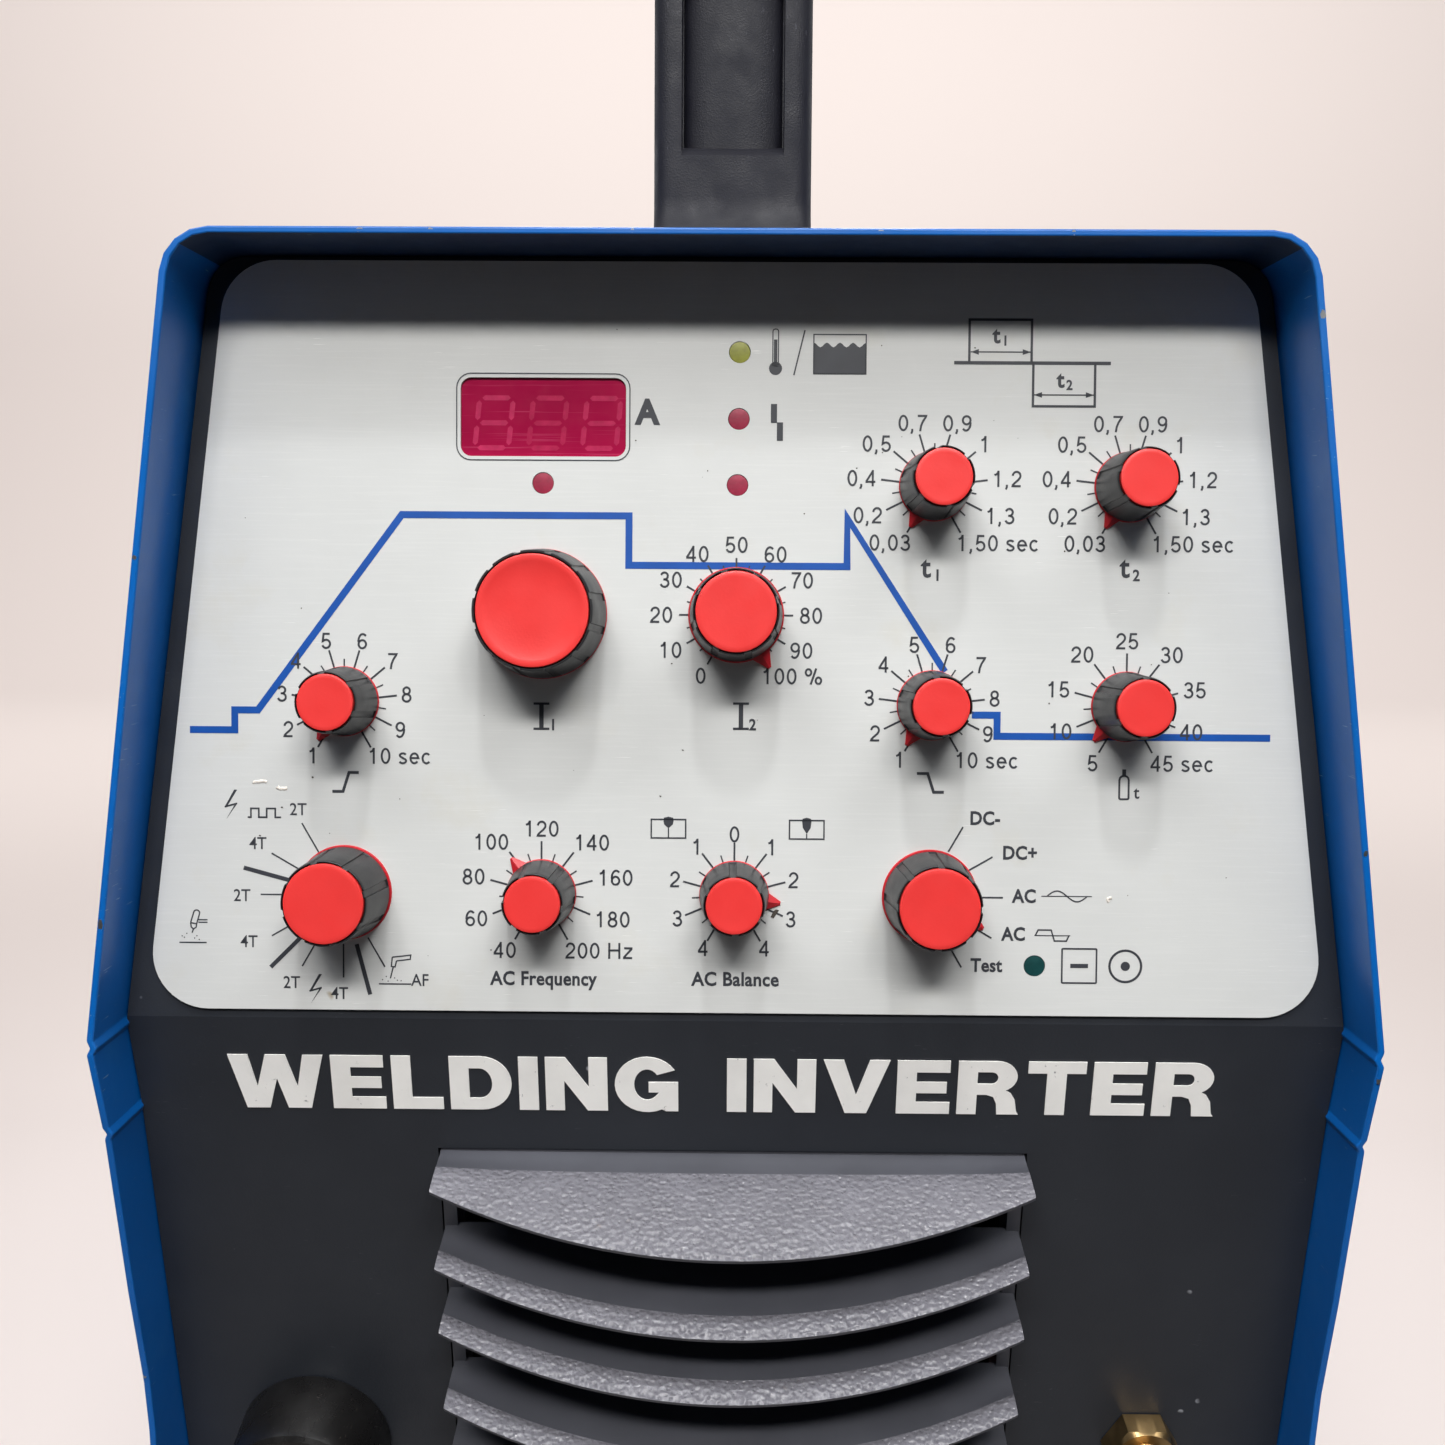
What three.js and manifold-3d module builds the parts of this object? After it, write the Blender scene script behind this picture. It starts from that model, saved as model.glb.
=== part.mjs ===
// A portable TIG welding power source: a folded sheet-metal case with a sloped control panel,
// eleven collet knobs, a louvred air grille, output sockets, a carrying handle, and the parts
// that sit inside the case. Millimetres, +X to the right of a person facing the panel,
// +Y towards the rear, +Z up, standing on z = 0.
import * as THREE from 'three';
import { mergeVertices } from 'three/addons/utils/BufferGeometryUtils.js';
import Module from 'manifold-3d';

const wasm = await Module();
wasm.setup();

// ---------- driving dimensions ----------
const GAP = 0.3;                    // clearance between pieces that touch
const SHEET = 1.5;                  // steel sheet
const PANEL = 2.5;                  // moulded front panel
const FOOT_HEIGHT = 14;
const FLOOR_Z = FOOT_HEIGHT + SHEET;

// Case section, seen from the front: a trapezoid above two creases, nearly upright below them.
const TOP_Z = 366.5;
const UPPER_CREASE_Z = 200.5;
const LOWER_CREASE_Z = 181;
const TOP_HALF = 114.3;
const CREASE_HALF = 133.6;
const STRIP_HALF = 132.8;
const BOTTOM_HALF = 132.4;
const TOP_RADIUS = 10;

// Front panel, seen from the side: it leans back above the bend and again below it.
const UPPER_TILT = THREE.MathUtils.degToRad(5.4);
const LOWER_TILT = THREE.MathUtils.degToRad(10);
const FOIL_FOOT_Z = 204;            // lower edge of the control foil, where y = 0
const BEND_DROP = 2;                // the bend lies this far below the foil
const REAR_FACE_Y = 500;
const COVER_REAR_Y = 512;
const REAR_TIP_Y = 524;             // switch handle and cable gland end here
const NOSE_TIP_Y = -18.6;             // foremost point of the louvres

// The front edge of the cover stands ahead of the panel as a hood: [y, z] from top to bottom.
const HOOD_EDGE = [
  [-6.3, TOP_Z], [-16, 198.6], [-11.6, 178.5], [-4.4, 139.5], [0.7, 117], [2.6, 101], [3.6, FOOT_HEIGHT + 2]];

// Control foil and what is on it; u is to the right and v is up the panel from the foil's foot.
const FOIL = { bottomHalf: 127, topHalf: 109, height: 160.5, radius: 12, face: 0.9, thick: 0.6 };
const COLUMNS = [-84, -41.5, 0, 42, 83.5];
const ROWS = { low: 25.5, middle: 66.7, current: 85.7, pulse: 113.4 };
const WINDOW = { u: -41.4, v: 128, width: 35.8, height: 17.2, radius: 3 };
const LED_RADIUS = 2.3;
const LEDS = {
  led_overtemperature: [0.4, 141.5],
  led_fault: [0.3, 127.4],
  led_pulse: [0.1, 113.4],
  led_main_current: [-41.4, 113.6],
  led_test: [64.7, 10.8],
};

// Collet knobs: radius at the base, at the rim and of the cap, height, pointer reach.
const SMALL = { base: 7.4, rim: 6.4, cap: 5.85, height: 15.5, pointer: 10.2, sides: 24 };
const MEDIUM = { base: 10, rim: 8.9, cap: 8.3, height: 17, pointer: 13.8, sides: 28 };
const LARGE = { base: 13.8, rim: 12.4, cap: 11.6, height: 16.5, pointer: 17.2, sides: 32 };
const SHAFT_RADIUS = 3;
const SHAFT_HOLE = 3.6;
const SHAFT_BACK = 13;              // how far the shaft reaches behind the panel
const KNOB_LIFT = 1.4;              // pointer disc above the panel
const DISC_THICK = 1;
// name: [size, u, v, pointer angle in degrees clockwise from straight up]
const KNOBS = {
  pulse_time_1: [SMALL, COLUMNS[3], ROWS.pulse, -150],
  pulse_time_2: [SMALL, COLUMNS[4], ROWS.pulse, -150],
  main_current: [LARGE, COLUMNS[1], ROWS.current, 0],
  second_current: [MEDIUM, COLUMNS[2], ROWS.current, 147],
  slope_up: [SMALL, COLUMNS[0], ROWS.middle, -146],
  slope_down: [SMALL, COLUMNS[3], ROWS.middle, -148],
  gas_post_flow: [SMALL, COLUMNS[4], ROWS.middle, -137],
  mode_selector: [MEDIUM, COLUMNS[0], ROWS.low, -120],
  ac_frequency: [SMALL, COLUMNS[1], ROWS.low, -40],
  ac_balance: [SMALL, COLUMNS[2], ROWS.low, 99],
  polarity_selector: [MEDIUM, COLUMNS[3], ROWS.low, 120],
};

// Louvre grille in the lower panel: back edges of the vanes as drops below the bend.
const GRILLE_HALF = 65.5;
const VANE_DROPS = [32.6, 52.2, 68.9, 89.3, 106, 126.4];
const GRILLE_TOP_DROP = 32.2;
const GRILLE_BOTTOM_DROP = 144;
const VANE_REACH = { end: 12.6, centre: 24.2 };   // how far a vane stands ahead of the panel
const VANE_FALL = { end: 0.2, centre: 9.1 };      // how far its lip hangs below its back edge
const LIP_HEIGHT = 4.1;
const VANE_STATIONS = 12;

// Sockets and fittings on the lower panel: u, and w down the panel from the bend.
const WORK_SOCKET = [-99.4, 112.8];
const TORCH_SOCKET = [96, 158];
const GAS_OUTLET = [97.6, 111.3];
const CONTROL_SOCKET = [48, 168];
const COLLAR = { outer: 17.5, inner: 11.4, front: 18, back: 12 };
const CONTACT = { outer: 11, bore: 6.6, front: 12.5, back: 32 };

// Rear panel fittings: [x, z]
const FAN = { x: 0, z: 175, half: 59.5, depth: 38, bore: 57, hub: 20, blades: 7 };
const SWITCH = [-72, 290];
const GLAND = [78, 62];
const GAS_INLET = [78, 112];

const HANDLE = { x: -1.6, front: 62, rear: 402, height: 94, half: 19.3, post: 30, grip: 27, channelHalf: 12.5 };

// ---------- materials ----------
const paint = (color, roughness, metalness) => new THREE.MeshStandardMaterial({ color, roughness, metalness });
const BLUE_PAINT = paint(0x0f5fb4, 0.35, 0.1);
const DARK_PLASTIC = paint(0x2c2e33, 0.6, 0);
const GRILLE_PLASTIC = paint(0x54555e, 0.55, 0);
const FOIL_GREY = paint(0xd9dad6, 0.45, 0);
const KNOB_GREY = paint(0x3b3c3e, 0.5, 0);
const CAP_RED = paint(0xf2332d, 0.4, 0);
const WINDOW_RED = paint(0xa11541, 0.2, 0);
const LENS_YELLOW = paint(0x8f9130, 0.3, 0);
const LENS_GREEN = paint(0x0b3f3b, 0.3, 0);
const HANDLE_PLASTIC = paint(0x42434e, 0.55, 0);
const BLACK_PLASTIC = paint(0x1c1b1a, 0.35, 0);
const BRASS = paint(0xb08a45, 0.3, 1);
const RUBBER = paint(0x1b1b1c, 0.85, 0);
const STEEL = paint(0xb4b7ba, 0.35, 0.9);
const ALUMINIUM = paint(0xc2c4c6, 0.4, 0.9);
const CORE_GREY = paint(0x4a4440, 0.6, 0.5);
const COPPER = paint(0xb06a3a, 0.4, 0.8);
const BOARD_GREEN = paint(0x1f5a3a, 0.5, 0);

// ---------- solids ----------
// A closed three.js geometry as a solid that can be joined and cut.
function solid(geometry) {
  const bare = geometry.clone();
  bare.deleteAttribute('normal');
  bare.deleteAttribute('uv');
  const merged = mergeVertices(bare, 1e-4);
  const corners = merged.index.array;
  const kept = [];
  for (let i = 0; i < corners.length; i += 3) {
    const [a, b, c] = [corners[i], corners[i + 1], corners[i + 2]];
    if (a !== b && b !== c && c !== a) kept.push(a, b, c);
  }
  const positions = Float32Array.from(merged.attributes.position.array);
  return new wasm.Manifold(new wasm.Mesh({ numProp: 3, vertProperties: positions, triVerts: Uint32Array.from(kept) }));
}

const join = (first, ...rest) => rest.reduce((sum, piece) => sum.add(piece), first);
const cut = (first, ...rest) => rest.reduce((left, piece) => left.subtract(piece), first);

function mesh(name, body, material) {
  const data = body.getMesh();
  const geometry = new THREE.BufferGeometry();
  geometry.setAttribute('position', new THREE.BufferAttribute(Float32Array.from(data.vertProperties), 3));
  geometry.setIndex(new THREE.BufferAttribute(Uint32Array.from(data.triVerts), 1));
  geometry.computeVertexNormals();
  const result = new THREE.Mesh(geometry, material);
  result.name = name;
  return result;
}

function box([x0, x1], [y0, y1], [z0, z1]) {
  const geometry = new THREE.BoxGeometry(x1 - x0, y1 - y0, z1 - z0);
  return solid(geometry.translate((x0 + x1) / 2, (y0 + y1) / 2, (z0 + z1) / 2));
}

// A cylinder along Z at (x, y); sides = 6 gives a hexagon with radius to its corners.
function rod(radius, [z0, z1], [x, y] = [0, 0], sides = 24) {
  const geometry = new THREE.CylinderGeometry(radius, radius, z1 - z0, sides);
  return solid(geometry.rotateX(Math.PI / 2).translate(x, y, (z0 + z1) / 2));
}

// A cylinder along Y at (x, z).
function rodY(radius, [y0, y1], [x, z], sides = 24) {
  const geometry = new THREE.CylinderGeometry(radius, radius, y1 - y0, sides);
  return solid(geometry.translate(x, (y0 + y1) / 2, z));
}

// A solid of revolution about Z from [radius, z] points.
function turned(points, sides = 24) {
  const outline = points.map(([radius, z]) => new THREE.Vector2(radius, z));
  return solid(new THREE.LatheGeometry(outline, sides).rotateX(Math.PI / 2));
}

function outlineShape(points) {
  return new THREE.Shape(points.map(([a, b]) => new THREE.Vector2(a, b)));
}

// A flat shape with thickness along Z.
function plate(shape, [z0, z1], curveSegments = 6) {
  const geometry = new THREE.ExtrudeGeometry(shape, { depth: z1 - z0, bevelEnabled: false, curveSegments });
  return solid(geometry.translate(0, 0, z0));
}

// A side outline in (y, z), extruded across the width between x0 and x1.
const SIDE_BASIS = new THREE.Matrix4().makeBasis(
  new THREE.Vector3(0, 1, 0), new THREE.Vector3(0, 0, 1), new THREE.Vector3(1, 0, 0));
function sideSolid(shape, [x0, x1], curveSegments = 6) {
  const geometry = new THREE.ExtrudeGeometry(shape, { depth: x1 - x0, bevelEnabled: false, curveSegments });
  return solid(geometry.translate(0, 0, x0).applyMatrix4(SIDE_BASIS));
}

// A front outline in (x, z), extruded from y0 back to y1.
const FRONT_BASIS = new THREE.Matrix4().makeBasis(
  new THREE.Vector3(1, 0, 0), new THREE.Vector3(0, 0, 1), new THREE.Vector3(0, -1, 0));
function frontSolid(shape, [y0, y1], curveSegments = 6) {
  const geometry = new THREE.ExtrudeGeometry(shape, { depth: y1 - y0, bevelEnabled: false, curveSegments });
  return solid(geometry.translate(0, 0, -y1).applyMatrix4(FRONT_BASIS));
}

// A polygon with every corner rounded to the radius given with it: [a, b, radius].
function roundedShape(corners) {
  const shape = new THREE.Shape();
  const count = corners.length;
  const towards = ([ax, ay], [bx, by], distance) => {
    const length = Math.hypot(bx - ax, by - ay);
    return [ax + (bx - ax) * distance / length, ay + (by - ay) * distance / length];
  };
  corners.forEach((corner, i) => {
    const before = towards(corner, corners[(i + count - 1) % count], corner[2]);
    const after = towards(corner, corners[(i + 1) % count], corner[2]);
    if (i === 0) shape.moveTo(...before);
    else shape.lineTo(...before);
    if (corner[2] > 0) shape.quadraticCurveTo(corner[0], corner[1], ...after);
  });
  shape.closePath();
  return shape;
}

// ---------- case ----------
// The case section, moved in by the given distance.
function caseOutline(inset, bottomZ) {
  const radius = TOP_RADIUS - inset;
  return [
    [BOTTOM_HALF - inset, bottomZ, 0],
    [STRIP_HALF - inset, LOWER_CREASE_Z, 0],
    [CREASE_HALF - inset, UPPER_CREASE_Z, 0],
    [TOP_HALF - inset, TOP_Z - inset, radius],
    [-TOP_HALF + inset, TOP_Z - inset, radius],
    [-CREASE_HALF + inset, UPPER_CREASE_Z, 0],
    [-STRIP_HALF + inset, LOWER_CREASE_Z, 0],
    [-BOTTOM_HALF + inset, bottomZ, 0],
  ];
}

const COVER_BOTTOM_Z = FOOT_HEIGHT + 2;

function housingCover() {
  const span = [NOSE_TIP_Y - 10, COVER_REAR_Y + 10];
  const outer = frontSolid(roundedShape(caseOutline(0, COVER_BOTTOM_Z)), span);
  const inner = frontSolid(roundedShape(caseOutline(SHEET, COVER_BOTTOM_Z - 5)), [span[0] - 5, span[1] + 5]);
  const side = outlineShape([...HOOD_EDGE, [COVER_REAR_Y, COVER_BOTTOM_Z], [COVER_REAR_Y, TOP_Z]]);
  return outer.subtract(inner).intersect(sideSolid(side, [-150, 150]));
}

function baseTray() {
  const half = BOTTOM_HALF - SHEET - 2 * GAP;
  const wall = 22;
  const front = 12;
  const length = [front, REAR_FACE_Y + 6];
  const floor = box([-half, half], length, [FOOT_HEIGHT, FLOOR_Z]);
  const left = box([-half, -half + SHEET], [front + 34, REAR_FACE_Y - 8], [FOOT_HEIGHT + 0.5, FLOOR_Z + wall]);
  const right = box([half - SHEET, half], [front + 34, REAR_FACE_Y - 8], [FOOT_HEIGHT + 0.5, FLOOR_Z + wall]);
  return join(floor, left, right);
}

function foot() {
  return turned([[0, 0], [14, 0], [15, 1], [16.5, FOOT_HEIGHT - GAP], [0, FOOT_HEIGHT - GAP]]);
}

// ---------- panel frames ----------
// A point on the upper panel, v up it and n ahead of it, as [y, z].
function upperPoint(v, n) {
  const [sin, cos] = [Math.sin(UPPER_TILT), Math.cos(UPPER_TILT)];
  return [v * sin - n * cos, FOIL_FOOT_Z + v * cos + n * sin];
}
const [BEND_Y, BEND_Z] = upperPoint(-BEND_DROP, 0);
// A point on the lower panel, w down it from the bend and n ahead of it, as [y, z].
function lowerPoint(w, n) {
  const [sin, cos] = [Math.sin(LOWER_TILT), Math.cos(LOWER_TILT)];
  return [BEND_Y + w * sin - n * cos, BEND_Z - w * cos - n * sin];
}
const BOTTOM_W = (BEND_Z - FLOOR_Z - GAP) / Math.cos(LOWER_TILT);

function panelGroup([y, z], turn) {
  const group = new THREE.Group();
  group.position.set(0, y, z);
  group.rotation.x = turn;
  return group;
}
const upperPanel = panelGroup(upperPoint(0, 0), Math.PI / 2 - UPPER_TILT);
const lowerPanel = panelGroup([BEND_Y, BEND_Z], Math.PI / 2 + LOWER_TILT);

// A solid drawn in a panel's own frame, moved to where that panel is.
function placed(body, group) {
  group.updateMatrix();
  return body.transform(Array.from(group.matrix.elements));
}

const windowShape = (grow) => {
  const [w, h] = [WINDOW.width / 2 + grow, WINDOW.height / 2 + grow];
  const corners = [[-w, -h], [w, -h], [w, h], [-w, h]];
  return roundedShape(corners.map(([a, b]) => [WINDOW.u + a, WINDOW.v + b, WINDOW.radius]));
};

// Everything that passes through the control panel, as cutters.
function controlCutters(span, holeRadius) {
  const shafts = Object.values(KNOBS).map(([, u, v]) => rod(holeRadius, span, [u, v], 12));
  const lamps = Object.values(LEDS).map((place) => rod(LED_RADIUS + GAP, span, place, 12));
  return [...shafts, ...lamps, plate(windowShape(GAP), span)];
}

function frontPanel() {
  const outer = [upperPoint(175, 0), upperPoint(-BEND_DROP, 0), lowerPoint(BOTTOM_W + 20, 0)];
  const inner = [lowerPoint(BOTTOM_W + 20, -PANEL), upperPoint(-BEND_DROP, -PANEL), upperPoint(175, -PANEL)];
  const slab = sideSolid(outlineShape([...outer, ...inner]), [-150, 150]);
  const inside = roundedShape(caseOutline(SHEET + GAP, FLOOR_Z + GAP));
  const trimmed = slab.intersect(frontSolid(inside, [-30, 80]));
  const through = [-20, 20];
  const upper = controlCutters(through, SHAFT_HOLE).map((body) => placed(body, upperPanel));
  const hole = ([u, w], radius) => placed(rod(radius, through, [u, -w], 24), lowerPanel);
  const slope = Math.cos(LOWER_TILT);
  const grille = placed(box([-GRILLE_HALF - GAP, GRILLE_HALF + GAP],
    [-GRILLE_BOTTOM_DROP / slope - GAP, -GRILLE_TOP_DROP / slope + GAP], through), lowerPanel);
  const sockets = [hole(WORK_SOCKET, 14.3), hole(TORCH_SOCKET, 14.3), hole(GAS_OUTLET, 6), hole(CONTROL_SOCKET, 9.3)];
  return cut(trimmed, ...upper, grille, ...sockets);
}

function controlFoil() {
  const { bottomHalf, topHalf, height, radius, face, thick } = FOIL;
  const shape = roundedShape([
    [-bottomHalf, 0, radius], [bottomHalf, 0, radius], [topHalf, height, radius], [-topHalf, height, radius]]);
  return cut(plate(shape, [face - thick, face]), ...controlCutters([-5, 5], SHAFT_HOLE + 0.2));
}

// ---------- knobs ----------
function knobBody({ base, rim, cap, height, pointer, sides }, angle) {
  const seat = cap + 0.25;
  const body = turned([
    [0, -SHAFT_BACK], [SHAFT_RADIUS, -SHAFT_BACK], [SHAFT_RADIUS, KNOB_LIFT], [base, KNOB_LIFT],
    [base, KNOB_LIFT + 2], [rim, height - GAP], [seat, height - GAP], [seat, height - 2.2], [0, height - 2.2]], sides);
  const turn = THREE.MathUtils.degToRad(angle);
  const half = pointer * 0.34;
  const arrow = outlineShape([[-half, base * 0.6], [half, base * 0.6], [0, pointer]]);
  return body.add(plate(arrow, [KNOB_LIFT, KNOB_LIFT + DISC_THICK]).rotate([0, 0, -THREE.MathUtils.radToDeg(turn)]));
}

function knobCap({ cap, height, sides }) {
  return turned([[0, height - 2], [cap, height - 2], [cap, height - 0.4], [cap - 0.4, height], [0, height]], sides);
}

// ---------- behind the control panel ----------
const BOARD_Z = [-17, -15.4];

function controlBoard() {
  const board = box([-104, 104], [8, 134], BOARD_Z);
  const pots = Object.values(KNOBS).map(([, u, v]) => rod(8, [-16, -5], [u, v], 12));
  const bores = Object.values(KNOBS).map(([, u, v]) => rod(3.4, [-20, 0], [u, v], 12));
  return cut(join(board, ...pots), ...bores);
}

function displayModule() {
  const { u, v } = WINDOW;
  const body = box([u - 18.5, u + 18.5], [v - 9, v + 9], [-12, -4]);
  const feet = [-15, 15].map((side) => box([u + side - 1, u + side + 1], [v - 6, v + 6], [BOARD_Z[1] + GAP, -11]));
  return join(body, ...feet);
}

// ---------- louvre grille ----------
// A vane is lofted across the width: its back edge is straight and its lip bows out and down.
function vane(drop) {
  const positions = [];
  const faces = [];
  const backW = drop / Math.cos(LOWER_TILT);
  const [backY, backZ] = lowerPoint(backW, -1.5);
  const [panelY] = lowerPoint(backW, 0);
  const ring = 6;
  for (let i = 0; i <= VANE_STATIONS; i += 1) {
    const t = 2 * i / VANE_STATIONS - 1;
    const bow = 1 - t * t;
    const lipY = panelY - VANE_REACH.end - (VANE_REACH.centre - VANE_REACH.end) * bow;
    const lipZ = backZ - VANE_FALL.end - (VANE_FALL.centre - VANE_FALL.end) * bow;
    const section = [
      [backY, backZ], [lipY + 0.4, lipZ], [lipY, lipZ - LIP_HEIGHT],
      [lipY + 2, lipZ - LIP_HEIGHT], [lipY + 2.6, lipZ - 2.4], [backY, backZ - 2.2]];
    section.forEach(([y, z]) => positions.push(t * (GRILLE_HALF - GAP), y, z));
  }
  for (let i = 0; i < VANE_STATIONS; i += 1) {
    for (let j = 0; j < ring; j += 1) {
      const [a, b] = [i * ring + j, i * ring + (j + 1) % ring];
      faces.push(a, b, a + ring, b, b + ring, a + ring);
    }
  }
  const last = VANE_STATIONS * ring;
  const caps = [[0, 1, 5], [1, 4, 5], [1, 2, 4], [2, 3, 4]];
  caps.forEach(([a, b, c]) => faces.push(a, c, b, last + a, last + b, last + c));
  const geometry = new THREE.BufferGeometry();
  geometry.setAttribute('position', new THREE.Float32BufferAttribute(positions, 3));
  geometry.setIndex(faces);
  return solid(geometry);
}

function louvreGrille() {
  const slope = Math.cos(LOWER_TILT);
  const [low, high] = [-GRILLE_BOTTOM_DROP / slope, -GRILLE_TOP_DROP / slope];
  const outer = GRILLE_HALF;
  const frame = box([-outer, outer], [low, high], [-8, -0.4]);
  const window = box([-outer + 3, outer - 3], [low + 3, high - 3], [-20, 20]);
  const sill = box([-outer, outer], [low, low + 4], [-8, 0.6]);
  const ring = join(cut(frame, window), sill);
  return join(placed(ring, lowerPanel), ...VANE_DROPS.map(vane));
}

// ---------- sockets and fittings, in the lower panel's frame ----------
function socketCollar() {
  const { outer, inner, front, back } = COLLAR;
  return turned([
    [inner, -back], [14, -back], [14, GAP], [outer, GAP],
    [outer, front - 1], [outer - 1, front], [inner + 1, front], [inner, front - 1], [inner, -back]], 28);
}

function socketContact() {
  const { outer, bore, front, back } = CONTACT;
  return turned([
    [0, -back], [5, -back], [5, -back + 10], [outer, -back + 10], [outer, front], [bore, front],
    [bore, -14], [0, -14]], 24);
}

function gasOutlet() {
  const hexagon = rod(9, [GAP, 6.5], [0, 0], 6).rotate([0, 0, 30]);
  const stub = rod(5, [0, 14], [0, 0], 20);
  const tail = rod(5.4, [-16, 2], [0, 0], 16);
  const nut = rod(9, [-6, -PANEL - GAP], [0, 0], 6);
  return cut(join(hexagon, stub, tail, nut), rod(2, [-20, 20], [0, 0], 12));
}

function controlSocket() {
  const shell = turned([
    [0, -14], [8.6, -14], [8.6, GAP], [12, GAP], [12, 2.5], [10, 3.5], [10, 11], [8.4, 11], [8.4, 7.6], [0, 7.6]], 24);
  const pins = [];
  for (let i = 0; i < 5; i += 1) {
    const turn = (2 * Math.PI * i) / 5;
    pins.push(rod(0.9, [7, 10], [5 * Math.sin(turn), 5 * Math.cos(turn)], 8));
  }
  return join(shell, ...pins);
}

// ---------- handle ----------
function handleBody() {
  const { x, front, rear, height, half, post, grip, channelHalf } = HANDLE;
  const bottom = TOP_Z + GAP;
  const top = TOP_Z + height;
  const flare = 6;
  const arch = roundedShape([
    [front - flare, bottom, 0], [front - flare, bottom + 8, 3], [front, bottom + 16, 6], [front + 4, top, 26],
    [rear - 4, top, 26], [rear, bottom + 16, 6], [rear + flare, bottom + 8, 3], [rear + flare, bottom, 0],
    [rear - post - 8, bottom, 0], [rear - post - 4, top - grip, 22], [front + post + 4, top - grip, 22],
    [front + post + 8, bottom, 0]]);
  const geometry = new THREE.ExtrudeGeometry(arch, {
    depth: 2 * half - 8, bevelEnabled: true, bevelThickness: 4, bevelSize: 3, bevelOffset: -3, bevelSegments: 2, curveSegments: 5 });
  const body = solid(geometry.translate(0, 0, -half + 4).applyMatrix4(SIDE_BASIS));
  const depth = 5;
  const ledge = bottom + 34.5;
  const crown = top - 15;
  const channel = (from, to) => sideSolid(outlineShape(from.concat(to)), [-channelHalf, channelHalf]);
  const frontCut = channel([[front - 20, ledge - 3], [front - 20, crown]], [[front + depth + 6, crown], [front + depth, ledge]]);
  const rearCut = channel([[rear + 20, ledge - 3], [rear + 20, crown]], [[rear - depth - 6, crown], [rear - depth, ledge]]);
  return cut(body, frontCut, rearCut).translate([x, 0, 0]);
}

// ---------- rear ----------
function rearPanel() {
  const inside = roundedShape(caseOutline(SHEET + GAP, FLOOR_Z + GAP));
  const sheet = frontSolid(inside, [REAR_FACE_Y - 2, REAR_FACE_Y]);
  const span = [REAR_FACE_Y - 10, REAR_FACE_Y + 10];
  return cut(sheet, rodY(FAN.bore - 1, span, [FAN.x, FAN.z], 40), rodY(12.4, span, SWITCH),
    rodY(10.4, span, GLAND), rodY(6.4, span, GAS_INLET));
}

function fanFrame() {
  const { x, z, half, depth, bore, hub } = FAN;
  const rear = REAR_FACE_Y - 2 - GAP;
  const shell = box([x - half, x + half], [rear - depth, rear], [z - half, z + half]);
  const opening = rodY(bore, [rear - depth - 1, rear + 1], [x, z], 40);
  const strut = [rear - depth, rear - depth + 4];
  const motor = rodY(hub - 1, [rear - depth, rear - depth + 7], [x, z], 24);
  const bars = [box([x - bore - 1, x + bore + 1], strut, [z - 2.5, z + 2.5]), box([x - 2.5, x + 2.5], strut, [z - bore - 1, z + bore + 1])];
  const bearing = rodY(2.6, [rear - depth - 1, rear - depth + 8], [x, z], 12);
  return cut(join(cut(shell, opening), motor, ...bars), bearing);
}

function fanRotor() {
  const { x, z, depth, hub, blades } = FAN;
  const rear = REAR_FACE_Y - 2 - GAP;
  const [y0, y1] = [rear - depth + 9, rear - 3];
  const centre = join(rodY(hub, [y0, y1], [x, z], 24), rodY(2, [rear - depth + 1, y0 + 1], [x, z], 12));
  const blade = new THREE.BoxGeometry(37, 2, 24).rotateX(Math.PI / 4).translate(36, 0, 0);
  const wings = [];
  for (let i = 0; i < blades; i += 1) {
    const wing = blade.clone().rotateY((2 * Math.PI * i) / blades).translate(x, (y0 + y1) / 2, z);
    wings.push(solid(wing));
  }
  return join(centre, ...wings);
}

function fanGuard() {
  const { x, z } = FAN;
  const y = REAR_FACE_Y + GAP + 1.2;
  const rings = [16, 30, 44, 58].map((radius) => {
    const ring = new THREE.TorusGeometry(radius, 1.2, 5, 24).rotateX(Math.PI / 2);
    return solid(ring.translate(x, y + 2, z));
  });
  const bars = [1, 3, 5, 7].map((eighth) => {
    const bar = new THREE.CylinderGeometry(1.2, 1.2, 46, 6).rotateZ(Math.PI / 2).translate(38, 0, 0);
    return solid(bar.rotateY((Math.PI * eighth) / 4).translate(x, y, z));
  });
  return join(rings[0], ...rings.slice(1), ...bars);
}

function switchBody() {
  const [x, z] = SWITCH;
  const inner = box([x - 21, x + 21], [REAR_FACE_Y - 44, REAR_FACE_Y - 2 - GAP], [z - 21, z + 21]);
  const neck = rodY(12, [REAR_FACE_Y - 4, REAR_FACE_Y + 2], [x, z]);
  const bezel = box([x - 24, x + 24], [REAR_FACE_Y + GAP, REAR_FACE_Y + 3], [z - 24, z + 24]);
  return cut(join(inner, neck, bezel), rodY(4.4, [REAR_FACE_Y - 20, REAR_FACE_Y + 5], [x, z], 16));
}

function switchKnob() {
  const [x, z] = SWITCH;
  const y = REAR_FACE_Y + 3 + GAP;
  const disc = rodY(19, [y, y + 6], [x, z], 28);
  const grip = box([x - 5, x + 5], [y + 4, REAR_TIP_Y], [z - 18, z + 18]);
  const spindle = rodY(4, [REAR_FACE_Y - 18, y + 1], [x, z], 16);
  return join(disc, grip, spindle);
}

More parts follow.
